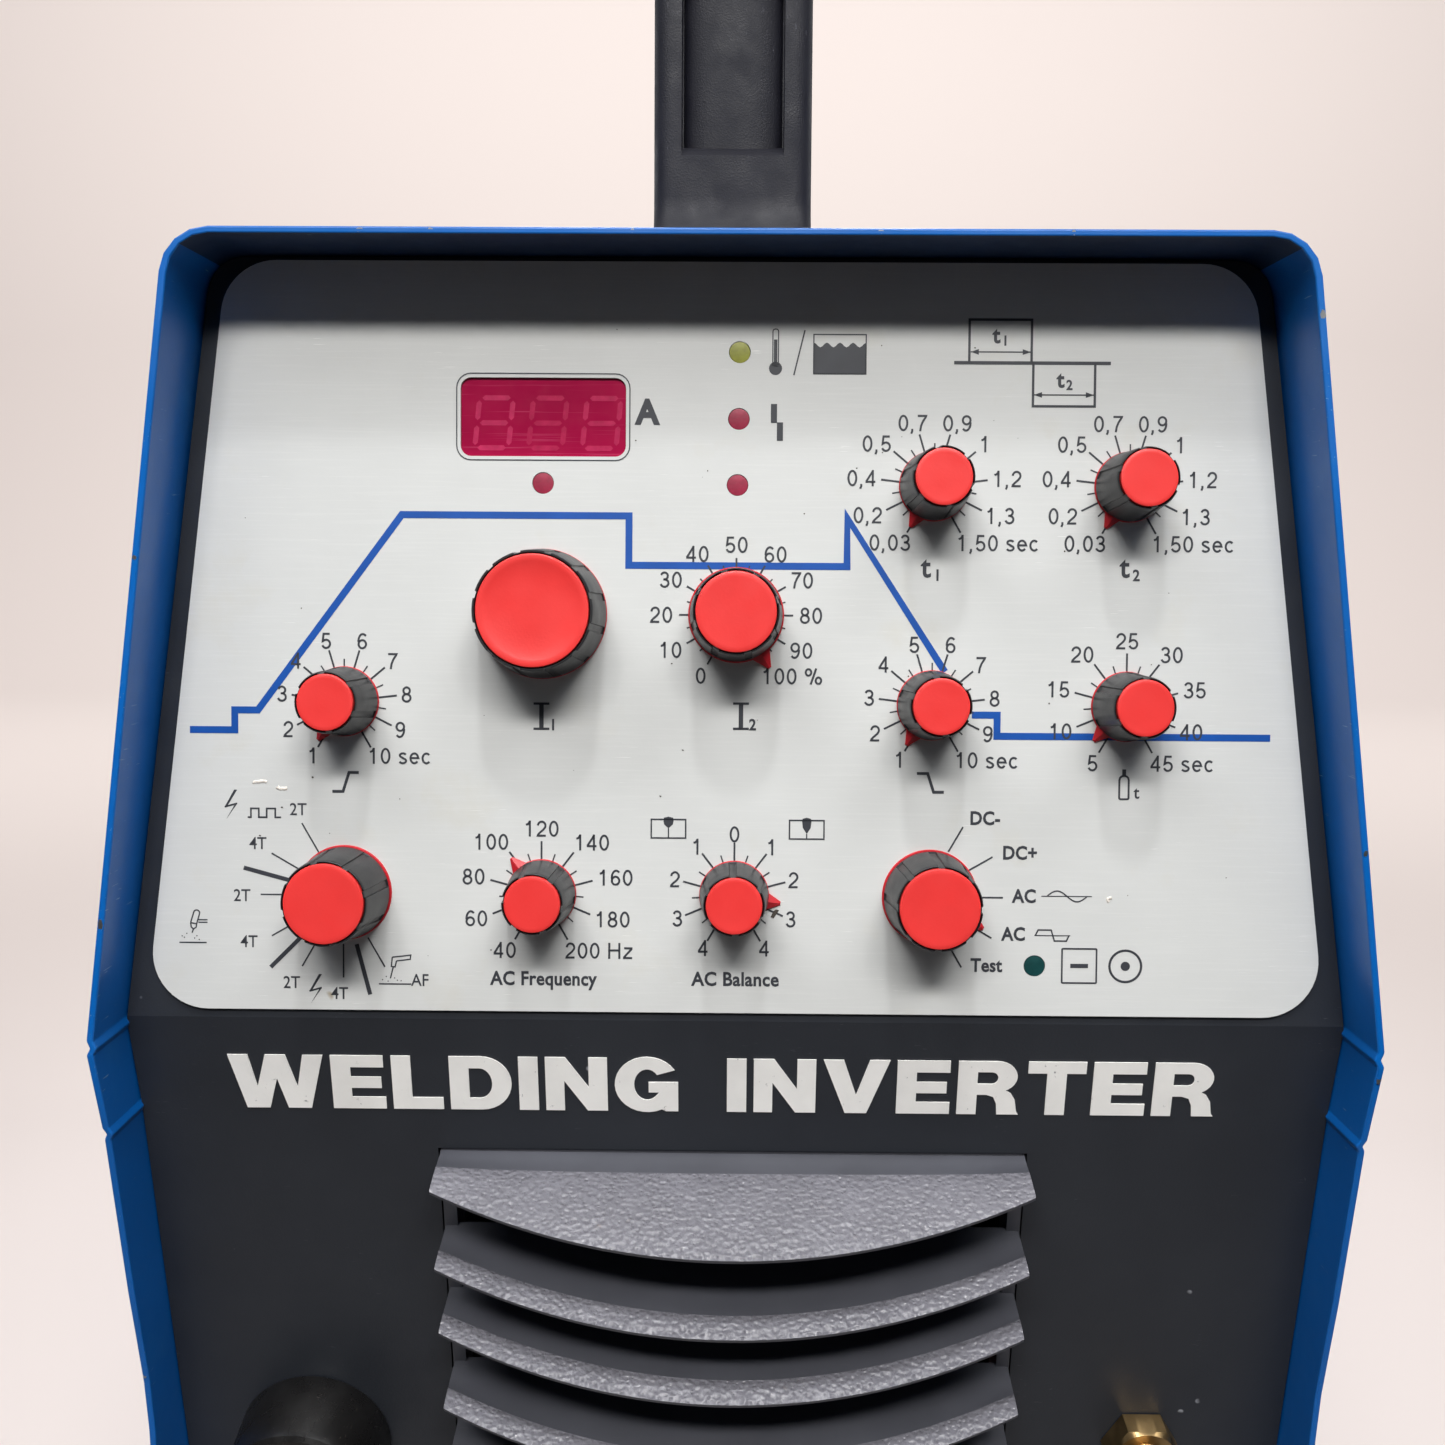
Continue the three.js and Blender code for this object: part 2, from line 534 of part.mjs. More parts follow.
function cableGland() {
  const along = [0, REAR_FACE_Y, 0];
  const ring = turned([
    [7, -14], [10, -14], [10, GAP], [14, GAP], [14, 8], [13, 9], [13, 16], [9, REAR_TIP_Y - REAR_FACE_Y],
    [7, REAR_TIP_Y - REAR_FACE_Y], [7, -14]], 24);
  return ring.rotate([-90, 0, 0]).translate([along[0] + GLAND[0], along[1], GLAND[1]]);
}

function gasInlet() {
  const [x, z] = GAS_INLET;
  const y = REAR_FACE_Y;
  const nipple = join(rodY(6, [y - 15, y + 2], [x, z], 20), rodY(9.2, [y + GAP, y + 6], [x, z], 6),
    rodY(3.6, [y + 5, y + 21], [x, z], 16), rodY(4.4, [y + 9, y + 12], [x, z], 16), rodY(4.4, [y + 15, y + 18], [x, z], 16));
  return cut(nipple, rodY(1.9, [y - 20, y + 25], [x, z], 12));
}

function gasValve() {
  const [x, z] = GAS_INLET;
  const y = REAR_FACE_Y - 15 - GAP;
  const block = box([x - 13, x + 13], [y - 24, y], [z - 13, z + 13]);
  const coil = rod(12, [z + 12, z + 44], [x, y - 12], 20);
  return join(block, coil);
}

// ---------- power parts on the tray ----------
function powerBoard() {
  const board = box([-112, -8], [214, 424], [30, 32]);
  const posts = [[-108, 220], [-12, 220], [-108, 418], [-12, 418]].map((place) => rod(3.5, [FLOOR_Z + GAP, 31], place, 10));
  const capacitors = [240, 282, 324, 366].map((y) => rod(17, [31, 80], [-84, y], 18));
  const drivers = [250, 310, 370].map((y) => box([-52, -16], [y - 18, y + 18], [31, 46]));
  return join(board, ...posts, ...capacitors, ...drivers);
}

function heatSink() {
  const length = [205, 425];
  const plateBody = box([8, 118], length, [FLOOR_Z + GAP, FLOOR_Z + 8]);
  const fins = [];
  for (let i = 0; i < 10; i += 1) {
    const x = 8 + 1.5 + i * (110 - 3) / 9;
    fins.push(box([x - 1.5, x + 1.5], length, [FLOOR_Z + 7, FLOOR_Z + 62]));
  }
  return join(plateBody, ...fins);
}

function mainTransformer() {
  const z = FLOOR_Z + GAP;
  const core = cut(box([-104, -22], [84, 160], [z, z + 84]),
    box([-90, -72], [80, 164], [z + 14, z + 70]), box([-54, -36], [80, 164], [z + 14, z + 70]));
  const winding = cut(box([-91, -35], [76, 168], [z + 13.5, z + 70.5]), box([-71, -55], [83.5, 160.5], [z + 10, z + 74]));
  return join(core, winding);
}

function outputChoke() {
  const ring = turned([[22, -20], [44, -20], [48, -16], [48, 16], [44, 20], [22, 20], [18, 16], [18, -16], [22, -20]], 28);
  const z = FLOOR_Z + GAP + 49;
  const upright = ring.rotate([0, 90, 0]).translate([50, 122, z]);
  return join(upright, box([34, 66], [92, 152], [FLOOR_Z + GAP, FLOOR_Z + 7]));
}

function ignitionUnit() {
  const z = FLOOR_Z + GAP;
  const block = box([84, 122], [104, 180], [z, z + 46]);
  const coil = rodY(14, [112, 172], [103, z + 58], 18);
  return join(block, coil);
}

// ---------- assembly ----------
const machine = new THREE.Group();
machine.position.set(0, -(NOSE_TIP_Y + REAR_TIP_Y) / 2, 0);
machine.add(upperPanel, lowerPanel);

machine.add(mesh('base_tray', baseTray(), BLUE_PAINT));
machine.add(mesh('housing_cover', housingCover(), BLUE_PAINT));
machine.add(mesh('front_panel', frontPanel(), DARK_PLASTIC));
machine.add(mesh('louvre_grille', louvreGrille(), GRILLE_PLASTIC));
machine.add(mesh('handle', handleBody(), HANDLE_PLASTIC));
const FEET = { foot_front_left: [-100, 62], foot_front_right: [100, 62], foot_rear_left: [-100, 450], foot_rear_right: [100, 450] };
Object.entries(FEET).forEach(([name, [x, y]]) => {
  const piece = mesh(name, foot(), RUBBER);
  piece.position.set(x, y, 0);
  machine.add(piece);
});

upperPanel.add(mesh('control_foil', controlFoil(), FOIL_GREY));
upperPanel.add(mesh('display_window', plate(windowShape(0), [-2.2, FOIL.face]), WINDOW_RED));
upperPanel.add(mesh('display_module', displayModule(), BLACK_PLASTIC));
upperPanel.add(mesh('control_board', controlBoard(), BOARD_GREEN));
const LENS_PAINT = { led_overtemperature: LENS_YELLOW, led_test: LENS_GREEN };
Object.entries(LEDS).forEach(([name, [u, v]]) => {
  const lamp = mesh(name, rod(LED_RADIUS, [-9, FOIL.face], [0, 0], 12), LENS_PAINT[name] ?? WINDOW_RED);
  lamp.position.set(u, v, 0);
  upperPanel.add(lamp);
});
Object.entries(KNOBS).forEach(([name, [size, u, v, angle]]) => {
  const knob = new THREE.Group();
  knob.position.set(u, v, 0);
  knob.add(mesh(`knob_${name}`, knobBody(size, angle), KNOB_GREY));
  knob.add(mesh(`cap_${name}`, knobCap(size), CAP_RED));
  upperPanel.add(knob);
});

const onLowerPanel = (name, body, material, [u, w]) => {
  const piece = mesh(name, body, material);
  piece.position.set(u, -w, 0);
  lowerPanel.add(piece);
};
onLowerPanel('work_socket_collar', socketCollar(), BLACK_PLASTIC, WORK_SOCKET);
onLowerPanel('work_socket_contact', socketContact(), BRASS, WORK_SOCKET);
onLowerPanel('torch_socket_collar', socketCollar(), BLACK_PLASTIC, TORCH_SOCKET);
onLowerPanel('torch_socket_contact', socketContact(), BRASS, TORCH_SOCKET);
onLowerPanel('gas_outlet', gasOutlet(), BRASS, GAS_OUTLET);
onLowerPanel('control_socket', controlSocket(), STEEL, CONTROL_SOCKET);

machine.add(mesh('rear_panel', rearPanel(), DARK_PLASTIC));
machine.add(mesh('fan_frame', fanFrame(), BLACK_PLASTIC));
machine.add(mesh('fan_rotor', fanRotor(), BLACK_PLASTIC));
machine.add(mesh('fan_guard', fanGuard(), STEEL));
machine.add(mesh('main_switch_body', switchBody(), BLACK_PLASTIC));
machine.add(mesh('main_switch_knob', switchKnob(), CAP_RED));
machine.add(mesh('cable_gland', cableGland(), BLACK_PLASTIC));
machine.add(mesh('gas_inlet', gasInlet(), BRASS));
machine.add(mesh('gas_valve', gasValve(), STEEL));
machine.add(mesh('power_board', powerBoard(), BOARD_GREEN));
machine.add(mesh('heat_sink', heatSink(), ALUMINIUM));
machine.add(mesh('main_transformer', mainTransformer(), CORE_GREY));
machine.add(mesh('output_choke', outputChoke(), COPPER));
machine.add(mesh('ignition_unit', ignitionUnit(), BLACK_PLASTIC));

export default machine;
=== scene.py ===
"""Looks for a portable TIG welding power source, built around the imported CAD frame.

Lengths in this file are millimetres in two panel frames and one machine frame, and every
mesh is written in metres. Machine frame: +X right, +Y to the rear, +Z up, y = 0 at the
foot of the control foil. Panel frames: u to the right, v (or -w) up the panel, n outwards.
"""
import math
import random

import bmesh
import bpy
from mathutils import Matrix, Vector


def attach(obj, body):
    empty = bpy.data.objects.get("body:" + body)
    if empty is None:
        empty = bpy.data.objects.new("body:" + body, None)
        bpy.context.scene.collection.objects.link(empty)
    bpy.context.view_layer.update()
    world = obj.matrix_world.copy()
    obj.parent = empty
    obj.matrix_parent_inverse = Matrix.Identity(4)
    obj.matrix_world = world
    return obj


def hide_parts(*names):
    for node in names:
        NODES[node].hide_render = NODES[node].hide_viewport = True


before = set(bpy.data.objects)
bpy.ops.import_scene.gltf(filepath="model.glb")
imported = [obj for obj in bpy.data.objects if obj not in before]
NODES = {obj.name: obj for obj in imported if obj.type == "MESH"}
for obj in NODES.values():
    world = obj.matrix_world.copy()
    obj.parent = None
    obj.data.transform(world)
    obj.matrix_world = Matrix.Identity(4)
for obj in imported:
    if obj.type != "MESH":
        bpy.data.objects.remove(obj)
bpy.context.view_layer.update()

MM = 0.001
MACHINE_Y = -252.7
UPPER_TILT = math.radians(5.4)
LOWER_TILT = math.radians(10)
FOIL_FOOT_Z = 204
BEND_DROP = 2
TOP_Z, UPPER_CREASE_Z, LOWER_CREASE_Z = 366.5, 200.5, 181
COVER_BOTTOM_Z = 16
COVER_REAR_Y, REAR_FACE_Y = 512, 500
SHEET = 1.5
HOOD_EDGE = [(TOP_Z, -6.3), (198.6, -16), (178.5, -11.6), (139.5, -4.4), (117, 0.7), (101, 2.6),
             (COVER_BOTTOM_Z, 3.6)]

MACHINE = Matrix.Translation((0, MACHINE_Y * MM, 0))
BEND = (-BEND_DROP * math.sin(UPPER_TILT), FOIL_FOOT_Z - BEND_DROP * math.cos(UPPER_TILT))
UPPER = (MACHINE @ Matrix.Translation((0, 0, FOIL_FOOT_Z * MM))
         @ Matrix.Rotation(math.pi / 2 - UPPER_TILT, 4, "X"))
LOWER = (MACHINE @ Matrix.Translation((0, BEND[0] * MM, BEND[1] * MM))
         @ Matrix.Rotation(math.pi / 2 + LOWER_TILT, 4, "X"))
# a frame whose +Z looks out of the rear panel
REAR = MACHINE @ Matrix.Translation((0, REAR_FACE_Y * MM, 0)) @ Matrix.Rotation(-math.pi / 2, 4, "X")


def shift(u, v, n=0):
    return Matrix.Translation((u * MM, v * MM, n * MM))


def lower_point(w, n):
    """A point w below the bend and n ahead of the lower panel, as machine (y, z)."""
    s, c = math.sin(LOWER_TILT), math.cos(LOWER_TILT)
    return BEND[0] + w * s - n * c, BEND[1] - w * c - n * s


# ---------- materials ----------
def tone(red, green, blue):
    """An 8-bit colour as linear light."""
    def linear(c):
        c /= 255
        return c / 12.92 if c <= 0.04045 else ((c + 0.055) / 1.055) ** 2.4
    return (linear(red), linear(green), linear(blue), 1)


class Shader:
    """A node tree built round one Principled shader, in object coordinates."""

    def __init__(self, name, color, rough, metal=0.0):
        self.mat = bpy.data.materials.new(name)
        self.mat.use_nodes = True
        self.mat.diffuse_color = color
        self.tree = self.mat.node_tree
        self.bsdf = self.tree.nodes["Principled BSDF"]
        self.bsdf.inputs["Base Color"].default_value = color
        self.bsdf.inputs["Roughness"].default_value = rough
        self.bsdf.inputs["Metallic"].default_value = metal
        self.color, self.rough = color, rough
        self.place = self.tree.nodes.new("ShaderNodeTexCoord").outputs["Object"]

    def node(self, kind, **inputs):
        made = self.tree.nodes.new(kind)
        for key, value in inputs.items():
            made.inputs[key.replace("_", " ")].default_value = value
        return made

    def link(self, source, target):
        self.tree.links.new(source, target)

    def mapping(self, scale):
        node = self.node("ShaderNodeMapping")
        node.inputs["Scale"].default_value = scale
        self.link(self.place, node.inputs["Vector"])
        return node.outputs[0]

    def noise(self, size_mm, detail=3, rough=0.55, stretch=None, distort=0.0):
        node = self.node("ShaderNodeTexNoise", Scale=1000 / size_mm, Detail=detail, Roughness=rough,
                         Distortion=distort)
        self.link(self.mapping(stretch) if stretch else self.place, node.inputs["Vector"])
        return node.outputs[0]

    def cells(self, size_mm, feature="F1", stretch=None, warp_mm=0.0):
        node = self.node("ShaderNodeTexVoronoi", Scale=1000 / size_mm)
        node.feature = feature
        source = self.mapping(stretch) if stretch else self.place
        if warp_mm:
            warp = self.node("ShaderNodeTexNoise", Scale=1000 / size_mm * 0.8, Detail=2)
            self.link(source, warp.inputs["Vector"])
            amount = self.tree.nodes.new("ShaderNodeVectorMath")
            amount.operation = "MULTIPLY_ADD"
            self.link(warp.outputs["Color"], amount.inputs[0])
            amount.inputs[1].default_value = (warp_mm * MM,) * 3
            self.link(source, amount.inputs[2])
            source = amount.outputs[0]
        self.link(source, node.inputs["Vector"])
        return node.outputs["Distance"]

    def span(self, source, low, high, to_low=0.0, to_high=1.0):
        node = self.tree.nodes.new("ShaderNodeMapRange")
        for key, value in (("From Min", low), ("From Max", high), ("To Min", to_low), ("To Max", to_high)):
            node.inputs[key].default_value = value
        self.link(source, node.inputs["Value"])
        return node.outputs[0]

    def multiply(self, first, second):
        node = self.tree.nodes.new("ShaderNodeMath")
        node.operation = "MULTIPLY"
        self.link(first, node.inputs[0])
        self.link(second, node.inputs[1])
        return node.outputs[0]

    def blend(self, mask, color):
        """Lays a colour over the base colour where the mask is 1."""
        node = self.tree.nodes.new("ShaderNodeMix")
        node.data_type = "RGBA"
        base = self.bsdf.inputs["Base Color"]
        if base.is_linked:
            self.link(base.links[0].from_socket, node.inputs[6])
        else:
            node.inputs[6].default_value = self.color
        node.inputs[7].default_value = color
        self.link(mask, node.inputs[0])
        self.link(node.outputs[2], base)

    def mottle(self, size_mm, depth, detail=4):
        """Patches lighter and darker than the base colour by depth."""
        patches = self.noise(size_mm, detail)
        darker = tuple(c * (1 - depth) for c in self.color[:3]) + (1,)
        lighter = tuple(min(c * (1 + depth) + depth * 0.02, 1) for c in self.color[:3]) + (1,)
        self.blend(self.span(patches, 0.3, 0.5, 1, 0), darker)
        self.blend(self.span(patches, 0.5, 0.72, 0, 0.9), lighter)

    def gloss(self, size_mm, spread):
        """Roughness that wanders either side of the base roughness."""
        self.link(self.span(self.noise(size_mm, 4), 0.3, 0.7, self.rough - spread, self.rough + spread),
                  self.bsdf.inputs["Roughness"])

    def bump(self, height, depth_mm, strength=1.0):
        node = self.node("ShaderNodeBump", Strength=strength, Distance=depth_mm * MM)
        self.link(height, node.inputs["Height"])
        normal = self.bsdf.inputs["Normal"]
        if normal.is_linked:
            self.link(normal.links[0].from_socket, node.inputs["Normal"])
        self.link(node.outputs[0], normal)

    def specks(self, spacing_mm, share, color):
        """Small dots, one in each cell that a slow noise lets through."""
        dots = self.span(self.cells(spacing_mm), 0.055, 0.09, 1, 0)
        some = self.span(self.noise(spacing_mm * 2.3, 1), 1 - share - 0.02, 1 - share, 0, 1)
        self.blend(self.multiply(dots, some), color)

    def scratches(self, color, share=0.3, length=9, width_mm=0.5, axis=0):
        """Long thin marks along one axis."""
        stretch = [1.0, 1.0, 1.0]
        stretch[axis] = 1 / length
        lines = self.span(self.noise(width_mm, 2, stretch=stretch), 0.69, 0.74)
        some = self.span(self.noise(22, 2), 0.62 - share * 0.3, 0.72 - share * 0.3)
        self.blend(self.multiply(lines, some), color)


def plastic(name, rgb, rough, grain_mm=0.35, grain_depth=0.02, depth=0.08, spread=0.06):
    shader = Shader(name, tone(*rgb), rough)
    shader.mottle(14, depth)
    shader.gloss(6, spread)
    shader.bump(shader.noise(grain_mm, 3), grain_depth)
    return shader


def metal(name, rgb, rough, brush_axis=None, depth=0.1, grain_mm=0.5):
    shader = Shader(name, tone(*rgb), rough, 1.0)
    shader.mottle(9, depth)
    shader.gloss(5, 0.08)
    stretch = None
    if brush_axis is not None:
        stretch = [1.0, 1.0, 1.0]
        stretch[brush_axis] = 0.06
    shader.bump(shader.noise(grain_mm, 3, stretch=stretch), 0.012)
    return shader


def make_materials():
    mats = {}

    blue = Shader("blue_paint", tone(2, 96, 178), 0.36)
    blue.mottle(60, 0.10)
    blue.blend(blue.span(blue.noise(26, 6, 0.7), 0.56, 0.78, 0, 0.3), tone(52, 128, 190))
    blue.scratches(tone(150, 180, 205), 0.25, 14, 0.5, 1)
    blue.specks(7, 0.2, tone(185, 200, 212))
    blue.specks(19, 0.25, tone(30, 34, 40))
    blue.gloss(18, 0.08)
    blue.bump(blue.noise(1.4, 2), 0.012)
    blue.bump(blue.noise(0.3, 2), 0.004)
    mats["blue"] = blue

    # painted shade: a darker, duller blue that stands in for the shade under the cover's top
    under = Shader("blue_underside_painted_shade", tone(5, 40, 76), 0.5)
    under.mottle(30, 0.2)
    under.specks(9, 0.3, tone(60, 80, 100))
    under.gloss(12, 0.08)
    under.bump(under.noise(0.8, 3), 0.02)
    mats["under"] = under

    panel = Shader("dark_panel", tone(41, 44, 50), 0.46)
    panel.mottle(40, 0.10)
    panel.specks(9, 0.35, tone(150, 152, 158))
    panel.specks(4.3, 0.12, tone(95, 97, 104))
    panel.scratches(tone(80, 82, 88), 0.12, 10, 0.3, 0)
    panel.gloss(12, 0.07)
    panel.bump(panel.noise(0.55, 3), 0.03)
    mats["panel"] = panel

    foil = Shader("foil_print", tone(212, 213, 211), 0.46)
    foil.mottle(34, 0.035)
    foil.blend(foil.span(foil.noise(26, 6, 0.62), 0.57, 0.8, 0, 0.5), tone(203, 198, 182))
    brushing = foil.noise(0.5, 2, 0.6, stretch=(0.03, 1, 1))
    foil.blend(foil.span(brushing, 0.5, 0.9, 0, 0.3), tone(232, 232, 230))
    foil.specks(6.5, 0.22, tone(120, 116, 104))
    foil.specks(15, 0.3, tone(150, 128, 84))
    foil.scratches(tone(240, 240, 238), 0.35, 30, 0.22, 0)
    foil.gloss(10, 0.07)
    foil.bump(foil.noise(1.6, 3), 0.02)
    foil.bump(foil.noise(0.25, 2), 0.004)
    mats["foil"] = foil

    for key, rgb in (("ink", (58, 60, 66)), ("ink_blue", (10, 78, 164))):
        ink = Shader(key, tone(*rgb), 0.45)
        ink.mottle(7, 0.10)
        ink.bump(ink.noise(0.5, 2), 0.006)
        mats[key] = ink

    white = Shader("ink_white", tone(248, 246, 242), 0.5)
    white.mottle(8, 0.04)
    white.blend(white.span(white.noise(2.4, 5, 0.7), 0.66, 0.72), tone(120, 121, 124))
    white.bump(white.noise(0.8, 3), 0.02)
    mats["ink_white"] = white

    spot = Shader("dirt_spot", tone(70, 64, 56), 0.7)
    spot.mottle(1.5, 0.3)
    spot.bump(spot.noise(0.3, 2), 0.02)
    mats["spot"] = spot

    smear = Shader("paint_smear", tone(234, 226, 216), 0.6)
    smear.mottle(1.5, 0.12)
    smear.bump(smear.noise(0.7, 4), 0.12)
    mats["smear"] = smear

    mats["knob"] = plastic("knob_grey", (32, 32, 35), 0.4, 0.3, 0.02, 0.14)
    mats["knob"].scratches(tone(84, 84, 87), 0.3, 6, 0.25, 2)
    red = plastic("cap_red", (233, 56, 54), 0.42, 0.55, 0.02, 0.05)
    red.specks(2.6, 0.16, tone(190, 24, 30))
    mats["cap"] = red
    mats["pointer"] = plastic("pointer_red", (196, 30, 42), 0.42, 0.5, 0.012)

    window = Shader("window_red", tone(164, 18, 66), 0.16)
    window.mottle(16, 0.10)
    streaks = window.noise(0.5, 2, stretch=(0.02, 1, 1))
    window.blend(window.span(streaks, 0.6, 0.75, 0, 0.5), tone(196, 70, 110))
    window.gloss(4, 0.06)
    window.bump(window.noise(0.6, 2, stretch=(0.05, 1, 1)), 0.004)
    window.bsdf.inputs["Coat Weight"].default_value = 0.4
    window.bsdf.inputs["Coat Roughness"].default_value = 0.12
    mats["window"] = window
    digit_tones = {"digit_first": (190, 44, 90), "digit_second": (178, 32, 78), "digit_third": (184, 38, 84)}
    for key, rgb in digit_tones.items():
        digit = Shader(key, tone(*rgb), 0.25)
        digit.mottle(2, 0.14)
        mats[key] = digit
    lens_tones = {"lens_red": (150, 32, 62), "lens_yellow": (146, 148, 56), "lens_green": (8, 62, 62)}
    for key, rgb in lens_tones.items():
        lens = Shader(key, tone(*rgb), 0.42)
        lens.mottle(1.6, 0.2)
        lens.bump(lens.cells(0.7), 0.015)
        lens.bsdf.inputs["Coat Weight"].default_value = 0.1
        lens.bsdf.inputs["Coat Roughness"].default_value = 0.2
        mats[key] = lens

    grip = Shader("handle_plastic", tone(20, 20, 29), 0.58)
    grip.bsdf.inputs["Specular IOR Level"].default_value = 0.32
    grip.mottle(22, 0.10)
    grip.scratches(tone(84, 84, 92), 0.25, 7, 0.3, 2)
    grip.specks(6, 0.14, tone(130, 130, 136))
    grip.gloss(7, 0.09)
    grip.bump(grip.cells(0.42, warp_mm=0.3), 0.035)
    grip.bump(grip.noise(1.2, 3), 0.02)
    mats["grip"] = grip

    grain = Shader("grille_grain", tone(116, 115, 122), 0.27)
    grain.mottle(16, 0.12)
    grain.blend(grain.span(grain.noise(5, 4, 0.7), 0.68, 0.8, 0, 0.5), tone(134, 112, 92))
    grain.gloss(3, 0.08)
    grain.bump(grain.cells(1.0, "SMOOTH_F1", stretch=(0.85, 1, 1), warp_mm=0.5), 0.6)
    grain.bump(grain.noise(0.7, 3, 0.6), 0.1)
    mats["grain"] = grain
    vane = Shader("grille_smooth", tone(78, 79, 86), 0.38)
    vane.mottle(18, 0.12)
    vane.scratches(tone(108, 108, 112), 0.2, 20, 0.3, 0)
    vane.gloss(6, 0.08)
    vane.bump(vane.noise(0.5, 3), 0.012)
    mats["vane"] = vane

    mats["socket"] = plastic("socket_black", (22, 21, 21), 0.3, 0.4, 0.01, 0.16, 0.09)
    mats["socket"].scratches(tone(84, 78, 74), 0.3, 5, 0.3, 2)
    mats["black"] = plastic("black_plastic", (30, 30, 32), 0.44, 0.35, 0.02, 0.12)
    mats["brass"] = metal("brass", (176, 148, 104), 0.36, 2, 0.2)
    mats["brass"].specks(1.7, 0.3, tone(104, 74, 40))
    mats["steel"] = metal("plated_steel", (132, 134, 137), 0.34, None, 0.1)
    mats["wire"] = metal("wire_steel", (150, 152, 156), 0.28, None, 0.12)
    mats["aluminium"] = metal("aluminium", (196, 198, 200), 0.36, 1, 0.08)
    mats["copper"] = metal("copper_wire", (188, 104, 62), 0.3, 0, 0.14)
    mats["core"] = plastic("core_steel", (76, 70, 66), 0.5, 0.5, 0.03)
    layers = mats["core"]
    layers.bump(layers.noise(0.5, 1, stretch=(0.02, 1, 0.02)), 0.06)
    board = plastic("board_green", (26, 84, 54), 0.3, 0.6, 0.01, 0.14)
    board.specks(3.2, 0.5, tone(196, 176, 96))
    mats["board"] = board
    rubber = plastic("rubber", (36, 36, 37), 0.78, 0.5, 0.05, 0.2)
    rubber.specks(3, 0.2, tone(90, 88, 84))
    mats["rubber"] = rubber
    sheet = Shader("dark_sheet", tone(40, 42, 47), 0.42)
    sheet.mottle(35, 0.12)
    sheet.specks(8, 0.3, tone(120, 122, 126))
    sheet.scratches(tone(96, 98, 104), 0.25, 12, 0.4, 0)
    sheet.gloss(14, 0.08)
    sheet.bump(sheet.noise(0.8, 3), 0.02)
    mats["sheet"] = sheet
    return {key: shader.mat for key, shader in mats.items()}


MATS = make_materials()


# ---------- mesh helpers ----------
def piece(name, mesh, material, body="case", at=MACHINE, replaces=(), bevel=0.0, angle=35,
          flip_check=True):
    """Makes an object from a mesh in local metres, smooth except at sharp edges."""
    bm = bmesh.new()
    bm.from_mesh(mesh)
    bmesh.ops.remove_doubles(bm, verts=bm.verts, dist=1e-6)
    if flip_check:
        bmesh.ops.recalc_face_normals(bm, faces=bm.faces)
    bm.to_mesh(mesh)
    bm.free()
    mesh.materials.clear()
    for entry in material if isinstance(material, (list, tuple)) else [material]:
        mesh.materials.append(MATS[entry])
    mesh.name = name
    obj = bpy.data.objects.new(name, mesh)
    bpy.context.scene.collection.objects.link(obj)
    obj.matrix_world = at
    if bevel:
        modifier = obj.modifiers.new("edge", "BEVEL")
        modifier.width = bevel * MM
        modifier.segments = 2
        modifier.limit_method = "ANGLE"
        modifier.angle_limit = math.radians(32)
        modifier.harden_normals = True
    mesh.polygons.foreach_set("use_smooth", [True] * len(mesh.polygons))
    mesh.set_sharp_from_angle(angle=math.radians(angle))
    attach(obj, body)
    if replaces:
        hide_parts(*replaces)
    return obj


def from_lists(verts, faces):
    mesh = bpy.data.meshes.new("made")
    mesh.from_pydata([tuple(c * MM for c in v) for v in verts], [], faces)
    return mesh


def joined(*parts):
    """Several (verts, faces) lists as one."""
    verts, faces = [], []
    for v, f in parts:
        base = len(verts)
        verts.extend(v)
        faces.extend([tuple(i + base for i in face) for face in f])
    return verts, faces


def moved(part, matrix):
    """A (verts, faces) list moved by a matrix whose shift is in millimetres."""
    verts, faces = part
    return [tuple(matrix @ Vector(v)) for v in verts], faces


def lathe(profile, steps=64, wave=None, angles=None):
    """Turns (radius, z) points about Z. wave(angle, radius, z) may change the radius."""
    angles = angles or [2 * math.pi * i / steps for i in range(steps)]
    steps = len(angles)
    verts, faces = [], []
    rings = []
    for radius, z in profile:
        if radius < 1e-6:
            rings.append([len(verts)])
            verts.append((0, 0, z))
            continue
        start = len(verts)
        for a in angles:
            r = wave(a, radius, z) if wave else radius
            verts.append((r * math.sin(a), r * math.cos(a), z))
        rings.append(list(range(start, start + steps)))
    closed = profile[0][0] > 1e-6
    pairs = list(zip(rings, rings[1:]))
    if closed:
        pairs.append((rings[-1], rings[0]))
    for low, high in pairs:
        for i in range(steps):
            j = (i + 1) % steps
            if len(low) == 1 and len(high) == 1:
                continue
            if len(low) == 1:
                faces.append((low[0], high[i], high[j]))
            elif len(high) == 1:
                faces.append((low[i], high[0], low[j]))
            else:
                faces.append((low[i], high[i], high[j], low[j]))
    return verts, faces


def prism(points, z0, z1, taper=0.0):
    """A flat outline with thickness. taper pulls the top in towards the centre."""
    count = len(points)
    cx = sum(p[0] for p in points) / count
    cy = sum(p[1] for p in points) / count
    top = []
    for x, y in points:
        reach = math.hypot(x - cx, y - cy) or 1
        k = 1 - taper / reach
        top.append((cx + (x - cx) * k, cy + (y - cy) * k, z1))
    verts = [(x, y, z0) for x, y in points] + top
    faces = [tuple(reversed(range(count))), tuple(range(count, 2 * count))]
    for i in range(count):
        j = (i + 1) % count
        faces.append((i, j, j + count, i + count))
    return verts, faces


def box(x, y, z):
    return prism([(x[0], y[0]), (x[1], y[0]), (x[1], y[1]), (x[0], y[1])], z[0], z[1])


def ring_points(radius, count, centre=(0, 0), turn=0.0):
    return [(centre[0] + radius * math.cos(turn + 2 * math.pi * i / count),
             centre[1] + radius * math.sin(turn + 2 * math.pi * i / count)) for i in range(count)]


